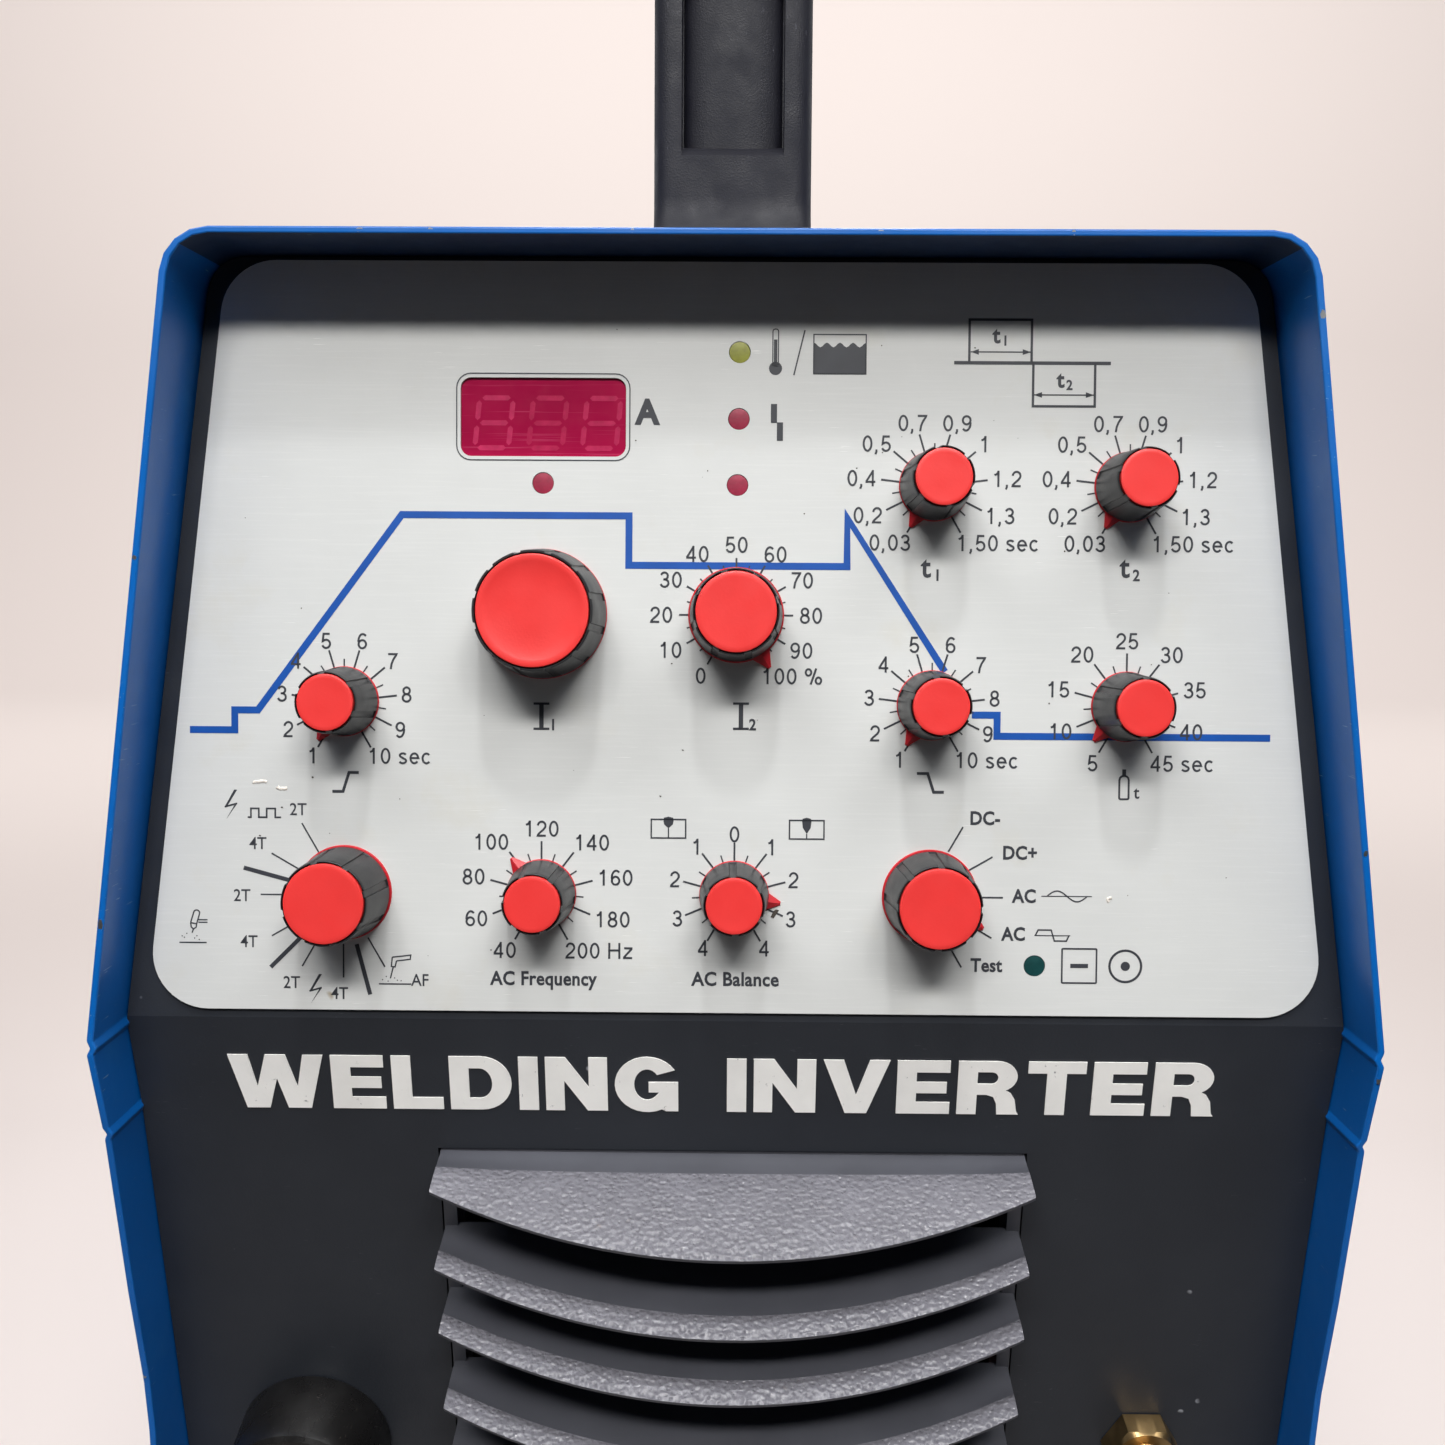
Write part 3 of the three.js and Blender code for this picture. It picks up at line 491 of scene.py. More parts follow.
def rounded(corners, steps=6):
    """A polygon whose corners (a, b, radius) are rounded by arcs."""
    out = []
    count = len(corners)
    for i, (a, b, radius) in enumerate(corners):
        here = Vector((a, b))
        before = Vector(corners[i - 1][:2]) - here
        after = Vector(corners[(i + 1) % count][:2]) - here
        if radius <= 0:
            out.append((a, b))
            continue
        before.normalize()
        after.normalize()
        half = before.angle(after) / 2
        reach = radius / math.tan(half)
        centre = here + (before + after).normalized() * (radius / math.sin(half))
        start = here + before * reach - centre
        stop = here + after * reach - centre
        sweep = start.angle_signed(stop)
        for k in range(steps + 1):
            turn = -sweep * k / steps
            c, s = math.cos(turn), math.sin(turn)
            out.append((centre.x + start.x * c - start.y * s, centre.y + start.x * s + start.y * c))
    return out


def ribbon(points, width, closed=False):
    """A line of constant width through points, mitred at its corners, as closed outlines."""
    sides = []
    count = len(points)
    for i, p in enumerate(points):
        here = Vector(p)
        ahead = (Vector(points[(i + 1) % count]) - here).normalized() if i + 1 < count or closed else None
        behind = (here - Vector(points[i - 1])).normalized() if i > 0 or closed else None
        along = ((ahead or behind) + (behind or ahead)).normalized()
        across = Vector((-along.y, along.x))
        flat = Vector((-(ahead or behind).y, (ahead or behind).x))
        reach = width / 2 / max(across.dot(flat), 0.35)
        sides.append((here + across * reach, here - across * reach))
    outlines = []
    for i in range(count if closed else count - 1):
        a, b = sides[i], sides[(i + 1) % count]
        outlines.append([tuple(a[1]), tuple(b[1]), tuple(b[0]), tuple(a[0])])
    return outlines


def sweep(points, radius, sides=8, closed=False):
    """A round wire through 3-D points."""
    verts, faces = [], []
    count = len(points)
    points = [Vector(p) for p in points]
    normal = None
    for i, p in enumerate(points):
        if closed:
            along = (points[(i + 1) % count] - points[i - 1]).normalized()
        else:
            along = (points[min(i + 1, count - 1)] - points[max(i - 1, 0)]).normalized()
        if normal is None:
            normal = along.orthogonal().normalized()
        normal = (normal - along * normal.dot(along)).normalized()
        other = along.cross(normal)
        for k in range(sides):
            a = 2 * math.pi * k / sides
            verts.append(tuple(p + radius * (math.cos(a) * normal + math.sin(a) * other)))
    for i in range(count if closed else count - 1):
        j = (i + 1) % count
        for k in range(sides):
            m = (k + 1) % sides
            faces.append((i * sides + k, i * sides + m, j * sides + m, j * sides + k))
    if not closed:
        faces.append(tuple(reversed(range(sides))))
        faces.append(tuple(range((count - 1) * sides, count * sides)))
    return verts, faces


def curve_plate(outlines, z0, z1):
    """A plate bounded by the first outline and pierced by the others, as a mesh in metres."""
    curve = bpy.data.curves.new("plate", "CURVE")
    curve.dimensions = "2D"
    curve.fill_mode = "BOTH"
    curve.extrude = (z1 - z0) / 2 * MM
    for outline in outlines:
        spline = curve.splines.new("POLY")
        spline.points.add(len(outline) - 1)
        for point, (a, b) in zip(spline.points, outline):
            point.co = (a * MM, b * MM, 0, 1)
        spline.use_cyclic_u = True
    return curve_mesh(curve, (z0 + z1) / 2)


def curve_mesh(curve, lift=0.0):
    holder = bpy.data.objects.new("holder", curve)
    bpy.context.scene.collection.objects.link(holder)
    bpy.context.view_layer.update()
    graph = bpy.context.evaluated_depsgraph_get()
    mesh = bpy.data.meshes.new_from_object(holder.evaluated_get(graph))
    bpy.data.objects.remove(holder)
    bpy.data.curves.remove(curve)
    mesh.transform(Matrix.Translation((0, 0, lift * MM)))
    return mesh


class Print:
    """Ink laid on a surface: everything in it becomes one thin raised mesh."""

    thick = 0.05
    caps = {}

    def __init__(self, level):
        self.verts, self.faces, self.level = [], [], level

    def add(self, part):
        base = len(self.verts)
        self.verts.extend(part[0])
        self.faces.extend([tuple(i + base for i in f) for f in part[1]])

    def shape(self, outline):
        self.add(prism(outline, self.level, self.level + self.thick))

    def line(self, points, width, closed=False):
        for outline in ribbon(points, width, closed):
            self.shape(outline)

    def bar(self, a, b, width):
        self.line([a, b], width)

    def disc(self, centre, radius, count=20):
        self.shape(ring_points(radius, count, centre))

    def text(self, words, at, cap, align="CENTER", heavy=0.0, narrow=0.92, spacing=1.0):
        """Words whose capitals are cap high, centred in height on the point given."""
        curve = bpy.data.curves.new("words", "FONT")
        curve.body = words
        curve.align_x = align
        curve.size = 1
        curve.resolution_u = 3
        curve.offset = heavy
        curve.space_character = spacing
        curve.extrude = 0.01
        mesh = curve_mesh(curve)
        height = self.cap_height()
        k = cap / height
        middle = self.level + self.thick / 2
        verts = [(at[0] + v.co.x * k * narrow, at[1] + v.co.y * k - cap / 2,
                  middle + (self.thick / 2 if v.co.z > 0 else -self.thick / 2)) for v in mesh.vertices]
        self.add((verts, [tuple(p.vertices) for p in mesh.polygons]))
        bpy.data.meshes.remove(mesh)

    def numerals(self, words, at, cap, align="CENTER", weight=0.128):
        """Dial numbers in plain even strokes, cap high, centred in height on the point given."""
        width = sum(GLYPHS[c][0] for c in words) * cap
        left = at[0] - (width / 2 if align == "CENTER" else 0)
        for c in words:
            advance, strokes = GLYPHS[c]
            for stroke in strokes:
                closed = stroke[0] == stroke[-1] and len(stroke) > 2
                points = [(left + x * cap, at[1] + (y - 0.5) * cap) for x, y in (stroke[:-1]
                    if closed else stroke)]
                self.line(points, weight * cap, closed)
            left += advance * cap

    @classmethod
    def cap_height(cls):
        if "H" not in cls.caps:
            curve = bpy.data.curves.new("cap", "FONT")
            curve.body = "H"
            curve.size = 1
            mesh = curve_mesh(curve)
            cls.caps["H"] = max(v.co.y for v in mesh.vertices)
            bpy.data.meshes.remove(mesh)
        return cls.caps["H"]

    def make(self, name, material, at):
        obj = piece(name, from_lists(self.verts, self.faces), material, at=at, angle=30)
        obj.data.polygons.foreach_set("use_smooth", [False] * len(obj.data.polygons))
        return obj


def clock(angle, radius, centre=(0, 0)):
    """The point at an angle in degrees clockwise from straight up."""
    a = math.radians(angle)
    return centre[0] + radius * math.sin(a), centre[1] + radius * math.cos(a)


# ---------- case ----------
TOP_HALF, CREASE_HALF, STRIP_HALF, BOTTOM_HALF = 114.3, 133.6, 132.8, 132.4
TOP_RADIUS = 10


def case_outline(inset, bottom_z):
    """The open section of the cover, from the right foot over the top to the left foot."""
    right = [
        (BOTTOM_HALF, bottom_z, 0),
        (STRIP_HALF - 0.1, LOWER_CREASE_Z - 2.2, 1.5),
        (STRIP_HALF - 0.75, LOWER_CREASE_Z - 0.9, 0.7),
        (STRIP_HALF, LOWER_CREASE_Z + 0.6, 1),
        (CREASE_HALF - 0.1, UPPER_CREASE_Z - 1.6, 1),
        (CREASE_HALF - 0.8, UPPER_CREASE_Z - 0.2, 0.7),
        (CREASE_HALF - 0.1, UPPER_CREASE_Z + 1.4, 1.5),
        (TOP_HALF, TOP_Z - inset, TOP_RADIUS - inset),
    ]
    corners = [(x - inset, z, r) for x, z, r in right]
    corners += [(-x, z, r) for x, z, r in reversed(corners)]
    return rounded(corners, 4)


def hood_front(z):
    """Where the cover's front edge stands at a height."""
    for (z1, y1), (z0, y0) in zip(HOOD_EDGE, HOOD_EDGE[1:]):
        if z >= z0:
            k = (z - z0) / (z1 - z0)
            return y0 + (y1 - y0) * k
    return HOOD_EDGE[-1][1]


def densify(points, longest):
    """The same line in 2-D or 3-D, with points added where a stretch is much longer than asked for."""
    out = []
    for a, b in zip(points, points[1:]):
        pieces = max(1, int(math.dist(a, b) / longest))
        out.extend([tuple(p + (q - p) * k / pieces for p, q in zip(a, b)) for k in range(pieces)])
    return out + [points[-1]]


def blot(rnd, centre, wide, high, turns):
    """A small ragged outline. wide and high hold the least and the most that a corner reaches."""
    return [(centre[0] + rnd.uniform(*wide) * math.cos(a), centre[1] + rnd.uniform(*high) * math.sin(a))
            for a in turns]


def housing_cover():
    """The folded sheet, with two creases a side and a front edge that stands ahead as a hood."""
    outer = case_outline(0, COVER_BOTTOM_Z)
    inner = case_outline(SHEET, COVER_BOTTOM_Z)
    pairs = []
    for (a, b), (c, d) in zip(zip(outer, outer[1:]), zip(inner, inner[1:])):
        steps = max(1, int(math.dist(a, b) / 12))
        for k in range(steps):
            t = k / steps
            pairs.append((tuple(p + (q - p) * t for p, q in zip(a, b)),
                          tuple(p + (q - p) * t for p, q in zip(c, d))))
    pairs.append((outer[-1], inner[-1]))
    stations = [0, 0.004, 0.03, 0.1, 0.25, 0.4, 0.55, 0.7, 0.85, 0.96, 0.996, 1]
    verts, faces = [], []
    rows = len(stations)
    for (ox, oz), (ix, iz) in pairs:
        for x, z in ((ox, oz), (ix, iz)):
            front = hood_front(min(z, TOP_Z))
            for s in stations:
                y = front + (COVER_REAR_Y - front) * s
                # the sheet is very slightly wavy, as a folded cover is
                bulge = 0.35 * math.sin(y * 0.013 + z * 0.02) * math.sin(math.pi * s) if abs(x) > 40 else 0
                verts.append((x + math.copysign(bulge, x), y, z))
    width = 2 * rows
    for i in range(len(pairs) - 1):
        a, b = i * width, (i + 1) * width
        for s in range(rows - 1):
            faces.append((a + s, a + s + 1, b + s + 1, b + s))
            faces.append((a + rows + s, b + rows + s, b + rows + s + 1, a + rows + s + 1))
        faces.append((a, b, b + rows, a + rows))
        faces.append((a + rows - 1, a + width - 1, b + width - 1, b + rows - 1))
    last = (len(pairs) - 1) * width
    for s in range(rows - 1):
        faces.append((s, s + rows, s + rows + 1, s + 1))
        faces.append((last + s, last + s + 1, last + s + rows + 1, last + s + rows))
    shell = piece("cover_shell", from_lists(verts, faces), ["blue", "under"],
                  replaces=["housing_cover"], bevel=0.45, angle=25)
    # painted shade: the down-facing faces under the top take the darker blue, which stands in for the shade
    # under the hood
    below = [1 if p.normal.z < -0.8 and p.center.z > (TOP_Z - 4) * MM else 0 for p in shell.data.polygons]
    shell.data.polygons.foreach_set("material_index", below)


def paint_chips():
    """Bare metal where the cover's front edge has been knocked."""
    rnd = random.Random(11)
    parts = []
    places = [(-1, 226, 1.7), (-1, 301, 0.6), (-1, 118, 1.0), (-1, 64, 0.7), (1, 350, 1.4), (1, 243, 0.8),
              (1, 196, 0.9), (1, 92, 1.2)]
    for side, z, size in places:
        half, _ = side_half(z)
        ring = blot(rnd, (side * (half - SHEET / 2), z), (0.4, 0.62), (0.7 * size, 1.1 * size), range(6))
        parts.append((ring, hood_front(z)))
    for x, size in ((-75, 0.9), (-61, 0.7), (-21, 0.5), (28, 0.8), (66, 0.5)):
        ring = blot(rnd, (x, TOP_Z - SHEET / 2), (0.7 * size, 1.1 * size), (0.35, 0.6), range(6))
        parts.append((ring, hood_front(TOP_Z)))
    plates = []
    for ring, front in parts:
        verts, faces = prism(ring, 0, 0.06)
        plates.append(([(x, front - 0.035 + n, z) for x, z, n in verts], faces))
    piece("cover_chips", from_lists(*joined(*plates)), "aluminium")


def screw(radius=3.6):
    """A pan head with a cross recess, its base at z = 0."""
    head = lathe([(0, 0), (radius, 0), (radius, 0.5), (radius * 0.86, 1.5), (radius * 0.55, 2.05),
                  (radius * 0.3, 2.1), (0, 1.1)], 28)
    washer = lathe([(radius * 0.4, -0.02), (radius * 1.45, -0.02), (radius * 1.45, 0.45),
                    (radius * 0.4, 0.45)], 28)
    return joined(head, washer)


def side_half(z):
    """The case's half-width at a height, and the side's lean there."""
    points = [(COVER_BOTTOM_Z, BOTTOM_HALF), (LOWER_CREASE_Z, STRIP_HALF), (UPPER_CREASE_Z, CREASE_HALF),
              (TOP_Z, TOP_HALF)]
    for (z0, x0), (z1, x1) in zip(points, points[1:]):
        if z <= z1:
            return x0 + (x1 - x0) * (z - z0) / (z1 - z0), math.atan2(x0 - x1, z1 - z0)
    return TOP_HALF, 0


def cover_screws():
    """Nine screws a side, square to the leaning sheet."""
    parts = []
    for y in (40, 250, 480):
        for z in (32, 150, 260):
            half, lean = side_half(z)
            for side in (1, -1):
                turn = Matrix.Rotation(side * (math.pi / 2 - lean), 4, "Y")
                parts.append(moved(screw(), Matrix.Translation((side * (half + 0.3), y, z)) @ turn))
    piece("cover_screws", from_lists(*joined(*parts)), "steel", angle=40)


# ---------- control foil ----------
FOIL = {"bottom": 127, "top": 109, "height": 160.5, "radius": 12, "face": 0.9, "thick": 0.6}
COLUMNS = [-84, -41.5, 0, 42, 83.5]
SMALL = {"base": 7.4, "rim": 6.4, "cap": 5.85, "height": 15.5, "pointer": 10.1, "grooves": 6}
MEDIUM = {"base": 9.9, "rim": 8.9, "cap": 8.3, "height": 17, "pointer": 13.4, "grooves": 8}
LARGE = {"base": 13.8, "rim": 12.4, "cap": 11.6, "height": 16.5, "pointer": 0, "grooves": 12}
KNOBS = {
    "pulse_time_1": (SMALL, COLUMNS[3], 113.4, -150),
    "pulse_time_2": (SMALL, COLUMNS[4], 113.4, -150),
    "main_current": (LARGE, COLUMNS[1], 85.7, 0),
    "second_current": (MEDIUM, COLUMNS[2], 85.7, 147),
    "slope_up": (SMALL, COLUMNS[0], 66.7, -146),
    "slope_down": (SMALL, COLUMNS[3], 66.7, -148),
    "gas_post_flow": (SMALL, COLUMNS[4], 66.7, -137),
    "mode_selector": (MEDIUM, COLUMNS[0], 25.5, -120),
    "ac_frequency": (SMALL, COLUMNS[1], 25.5, -40),
    "ac_balance": (SMALL, COLUMNS[2], 25.5, 99),
    "polarity_selector": (MEDIUM, COLUMNS[3], 25.5, 120),
}
LEDS = {
    "led_overtemperature": (0.4, 141.5, "lens_yellow", "lens_yellow"),
    "led_fault": (0.3, 127.4, "lens_red", "window_red"),
    "led_pulse": (0.1, 113.4, "lens_red", "window_red"),
    "led_main_current": (-41.4, 113.6, "lens_red", "window_red"),
    "led_test": (64.7, 10.8, "lens_green", "lens_green"),
}
WINDOW = {"u": -41.4, "v": 127.6, "width": 35.7, "height": 17.1, "radius": 2.3}
INK_LEVEL = 0.91


def window_outline(grow, radius):
    """The display window's outline on the foil, larger all round by grow."""
    w, h = WINDOW["width"] / 2 + grow, WINDOW["height"] / 2 + grow
    corners = [(-w, -h), (w, -h), (w, h), (-w, h)]
    return rounded([(WINDOW["u"] + a, WINDOW["v"] + b, radius) for a, b in corners], 6)


def control_foil():
    """A plate with holes for the knobs' shafts, the lamps and the display window."""
    bottom, top, height, radius = FOIL["bottom"], FOIL["top"], FOIL["height"], FOIL["radius"]
    outer = rounded([(-bottom, 0, radius), (bottom, 0, radius), (top, height, radius),
                     (-top, height, radius)], 12)
    holes = [ring_points(3.7, 20, (u, v)) for _, u, v, _ in KNOBS.values()]
    holes += [ring_points(2.32, 32, (u, v)) for u, v, _, _ in LEDS.values()]
    holes.append(window_outline(-0.2, WINDOW["radius"]))
    mesh = curve_plate([outer] + holes, FOIL["face"] - FOIL["thick"], FOIL["face"])
    piece("foil_sheet", mesh, "foil", at=UPPER, replaces=["control_foil"], angle=30)


def digit_segments(centre, width, height, thick, slant):
    """The seven bars of a number display, as outlines."""
    cx, cy = centre
    w, h, t = width / 2, height / 2, thick / 2
    bars = []
    for y in (-h, 0, h):
        bars.append([(-w + t, y), (-w + 2 * t, y + t), (w - 2 * t, y + t), (w - t, y), (w - 2 * t, y - t),
                     (-w + 2 * t, y - t)])
    for x in (-w, w):
        for y0, y1 in ((-h, 0), (0, h)):
            bars.append([(x, y0 + t), (x + t, y0 + 2 * t), (x + t, y1 - 2 * t), (x, y1 - t),
                         (x - t, y1 - 2 * t), (x - t, y0 + 2 * t)])
    return [[(cx + x + slant * y, cy + y) for x, y in bar] for bar in bars]


def display():
    """A red window under a clear part of the foil, with unlit digits behind it and a thin line round it."""
    outline = window_outline(0, WINDOW["radius"])
    glass = prism(outline, -2.2, 0.26)
    piece("display_glass", from_lists(*glass), "window", at=UPPER,
          replaces=["display_window"], bevel=0.2, angle=30)
    for k, tint in ((-1, "digit_first"), (0, "digit_second"), (1, "digit_third")):
        digits = Print(0.24)
        centre = (WINDOW["u"] + 0.9 + k * 11.5, WINDOW["v"] - 1.2)
        for bar in digit_segments(centre, 7.2, 10.6, 1.1, 0.1):
            digits.shape(bar)
        digits.make("display_" + tint, tint, UPPER)
    rim = Print(INK_LEVEL)
    rim.line(window_outline(0.62, WINDOW["radius"] + 0.75), 0.26, closed=True)
    rim.make("display_rim", "ink", UPPER)


def lamps():
    """Small lenses that end just below the face of the foil."""
    for name, (u, v, material, slot) in LEDS.items():
        face = FOIL["face"] - 0.12
        lens = [(0, -9), (2.0, -9), (2.26, -8.6), (2.26, face - 0.2), (2.18, face - 0.04), (1.9, face),
                (0, face + 0.01)]
        piece(name + "_lens", from_lists(*lathe(lens, 40)), material, at=UPPER @ shift(u, v),
              replaces=[name], angle=50)


# ---------- printed scales ----------
def arc(cx, cy, rx, ry, start, stop, steps=12):
    """Points along an ellipse, angles in degrees counted from +X towards +Y."""
    turn = [math.radians(start + (stop - start) * k / steps) for k in range(steps + 1)]
    return [(cx + rx * math.cos(a), cy + ry * math.sin(a)) for a in turn]


def loop(cx, cy, rx, ry, steps=20):
    ring = arc(cx, cy, rx, ry, 0, 360, steps)
    return ring[:-1] + [ring[0]]


# Each glyph is its advance and the centre lines of its strokes, for a capital height of 1.
GLYPHS = {
    "0": (0.76, [loop(0.38, 0.5, 0.24, 0.44, 24)]),
    "1": (0.76, [[(0.16, 0.74), (0.28, 0.775), (0.36, 0.86), (0.39, 0.95)], [(0.405, 1.0), (0.405, 0)]]),
    "2": (0.76, [arc(0.385, 0.69, 0.235, 0.25, 178, -25) + [(0.50, 0.45), (0.27, 0.25), (0.16, 0.13),
                                                            (0.14, 0.06), (0.64, 0.06)]]),
    "3": (0.76, [arc(0.37, 0.725, 0.21, 0.215, 165, -80) + [(0.30, 0.515)], [(0.33, 0.515)]
                 + arc(0.375, 0.285, 0.245, 0.23, 80, -165)]),
    "4": (0.76, [[(0.50, 1.0), (0.50, 0)], [(0.50, 0.93), (0.12, 0.33), (0.12, 0.275), (0.66, 0.275)]]),
    "5": (0.76, [[(0.60, 0.94), (0.22, 0.94), (0.165, 0.48)] + arc(0.375, 0.315, 0.245, 0.26, 135, -160)]),
    "6": (0.76, [loop(0.385, 0.31, 0.235, 0.25), arc(0.42, 0.48, 0.275, 0.46, 185, 48)]),
    "7": (0.76, [[(0.12, 0.94), (0.64, 0.94), (0.62, 0.88), (0.44, 0.60), (0.33, 0.32), (0.28, 0)]]),
    "8": (0.76, [loop(0.38, 0.73, 0.2, 0.21), loop(0.38, 0.285, 0.245, 0.23)]),
    "9": (0.76, [loop(0.375, 0.69, 0.235, 0.25), arc(0.34, 0.52, 0.275, 0.46, 5, -132)]),
    ",": (0.38, [[(0.17, 0.14), (0.17, 0.0), (0.11, -0.15)]]),
    " ": (0.36, []),
    "s": (0.68, [arc(0.34, 0.54, 0.19, 0.13, 20, 250, 10) + arc(0.33, 0.2, 0.21, 0.145, 70, -160, 10)]),
    "e": (0.76, [[(0.135, 0.38), (0.62, 0.38)] + arc(0.375, 0.365, 0.24, 0.305, 5, 322, 18)]),
    "c": (0.70, [arc(0.37, 0.365, 0.24, 0.305, 45, 318, 16)]),
    "H": (1.0, [[(0.17, 0), (0.17, 1)], [(0.80, 0), (0.80, 1)], [(0.17, 0.53), (0.80, 0.53)]]),
    "z": (0.68, [[(0.10, 0.67), (0.56, 0.67), (0.56, 0.62), (0.10, 0.11), (0.10, 0.06), (0.60, 0.06)]]),
    "%": (1.2, [loop(0.30, 0.75, 0.17, 0.2, 16), loop(0.92, 0.24, 0.17, 0.2, 16), [(0.78, 1.0), (0.44, 0)]]),
}


def dial(ink, centre, labels, radius, start, stop, tick, half_tick, cap=3.45, unit="", inner=7.4):
    """A scale from start to stop degrees with a label at each main tick."""
    count = len(labels)
    step = (stop - start) / (count - 1)
    for i, label in enumerate(labels):
        angle = start + i * step
        ink.bar(clock(angle, inner, centre), clock(angle, tick, centre), 0.4)
        if i + 1 < count:
            ink.bar(clock(angle + step / 2, inner, centre), clock(angle + step / 2, half_tick, centre), 0.3)
        width = cap * sum(GLYPHS[c][0] for c in label)
        x, y = clock(angle, radius, centre)
        lean = math.sin(math.radians(angle)) * 1.6
        x += max(-1, min(1, lean)) * max(width / 2 - 1.6, 0)
        if i + 1 == count and unit:
            ink.numerals(label + unit, (x - width / 2, y), cap, "LEFT")
        else:
            ink.numerals(label, (x, y), cap)


def knob_scales(ink):
    """The numbered scales round the knobs that have one."""
    seconds = [str(n) for n in range(1, 11)]
    pulse = ["0,03", "0,2", "0,4", "0,5", "0,7", "0,9", "1", "1,2", "1,3", "1,50"]
    for name in ("slope_up", "slope_down"):
        _, u, v, _ = KNOBS[name]
        dial(ink, (u, v), seconds, 13.5, -150, 150, 11.4, 9.1, unit=" sec")
    for name in ("pulse_time_1", "pulse_time_2"):
        _, u, v, _ = KNOBS[name]
        dial(ink, (u, v), pulse, 13.9, -150, 150, 11.4, 9.1, unit=" sec")
    _, u, v, _ = KNOBS["gas_post_flow"]
    dial(ink, (u, v), [str(n) for n in range(5, 50, 5)], 14.0, -150, 150, 11.4, 9.1, unit=" sec")
    _, u, v, _ = KNOBS["second_current"]
    dial(ink, (u, v), [str(n) for n in range(0, 110, 10)], 15.0, -150, 150, 12.2, 10.9, unit=" %", inner=10.2)
    _, u, v, _ = KNOBS["ac_frequency"]
    dial(ink, (u, v), [str(n) for n in range(40, 220, 20)], 14.1, -150, 150, 11.4, 9.1, unit=" Hz")
    _, u, v, _ = KNOBS["ac_balance"]
    dial(ink, (u, v), [str(abs(n)) for n in range(-4, 5)], 13.2, -150, 150, 11.4, 9.1)


def captions(ink):
    """The words below two of the scales, and the signs of the two currents and the two pulse times."""
    ink.text("AC Frequency", (-41.0, 7.2), 2.85, heavy=0.026, narrow=0.9, spacing=1.04)
    ink.text("AC Balance", (0.4, 7.4), 2.85, heavy=0.026, narrow=0.92, spacing=1.04)
    for letter, number, u, v in (("I", "1", -41.6, 63.8), ("I", "2", 1.2, 64.1), ("t", "1", 40.4, 96.3),
                                 ("t", "2", 82.7, 96.5)):
        if letter == "I":
            ink.bar((u, v - 2.7), (u, v + 2.7), 0.95)
            for end in (-2.7, 2.7):
                ink.bar((u - 1.7, v + end), (u + 1.7, v + end), 0.5)
        else:
            ink.text("t", (u, v), 4.4, heavy=0.02)
        ink.text(number, (u + 2.5, v - 1.8), 2.3, heavy=0.025)


def selector_scales(ink):
    """The marked positions of the polarity selector, and then those of the mode selector."""
    _, u, v, _ = KNOBS["polarity_selector"]
    for angle in (30, 60, 90, 120, 150):
        ink.bar(clock(angle, 11.3, (u - 1.75, v)), clock(angle, 17.5, (u - 1.75, v)), 0.36)
    for words, place in (("DC-", (50.4, 42.6)), ("DC+", (57.5, 35.2)), ("AC", (59.8, 25.9)),
                         ("AC", (57.6, 17.7)), ("Test", (51.0, 10.9))):
        ink.text(words, place, 2.75, "LEFT", heavy=0.028, narrow=0.9, spacing=1.03)
    wave = [(67.2 + 8.6 * k / 24, 25.9 + 1.15 * math.sin(2 * math.pi * k / 24)) for k in range(25)]
    ink.line(wave, 0.28)
    ink.bar((66.0, 25.9), (76.8, 25.9), 0.2)
    square = [(64.8, 17.4), (65.4, 18.6), (68.2, 18.6), (68.9, 16.25), (71.5, 16.25), (72.0, 17.4)]
    ink.line(square, 0.3)
    ink.bar((64.6, 17.4), (72.3, 17.4), 0.2)

    _, u, v, _ = KNOBS["mode_selector"]
    middle = (u - 0.25, v - 0.6)
    for angle in (-30, -60, -90, -120, -150, 180, 150):
        ink.bar(clock(angle, 10.6, middle), clock(angle, 17.9, middle), 0.32)
    for angle in (-75, -135, 165):
        ink.bar(clock(angle, 11, middle), clock(angle, 22.3, middle), 0.9)
    places = [("2T", -94, 43.4), ("4T", -102.7, 36), ("2T", -106.2, 24.7), ("4T", -104.7, 14.7),
              ("2T", -95.5, 5.9), ("4T", -85.1, 3.6), ("AF", -67.7, 6.6)]
    for words, a, b in places:
        ink.text(words, (a, b), 2.55, heavy=0.006, narrow=0.9)
    for a, b in ((-108.5, 44.4), (-90.3, 4.6)):
        ink.shape([(a + x, b + y) for x, y in [(0.7, 3.1), (1.35, 3.1), (-0.75, -0.35), (-1.4, -0.65)]])
        ink.bar((a - 1.35, b - 0.6), (a + 1.3, b + 0.15), 0.36)
        ink.shape([(a + x, b + y) for x, y in [(0.95, 0.1), (1.4, 0.2), (-1.0, -3.2)]])
    low, high = 41.6, 43.5
    train = [(-104.9, low), (-104.2, low), (-104.2, high), (-102.5, high), (-102.5, low), (-100.8, low),
             (-100.8, high), (-98.95, high), (-98.95, low), (-97.7, low)]
    ink.line(train, 0.36)
    torch_icon(ink, (-116.6, 18.2))
    holder_icon(ink, (-73, 8.6))


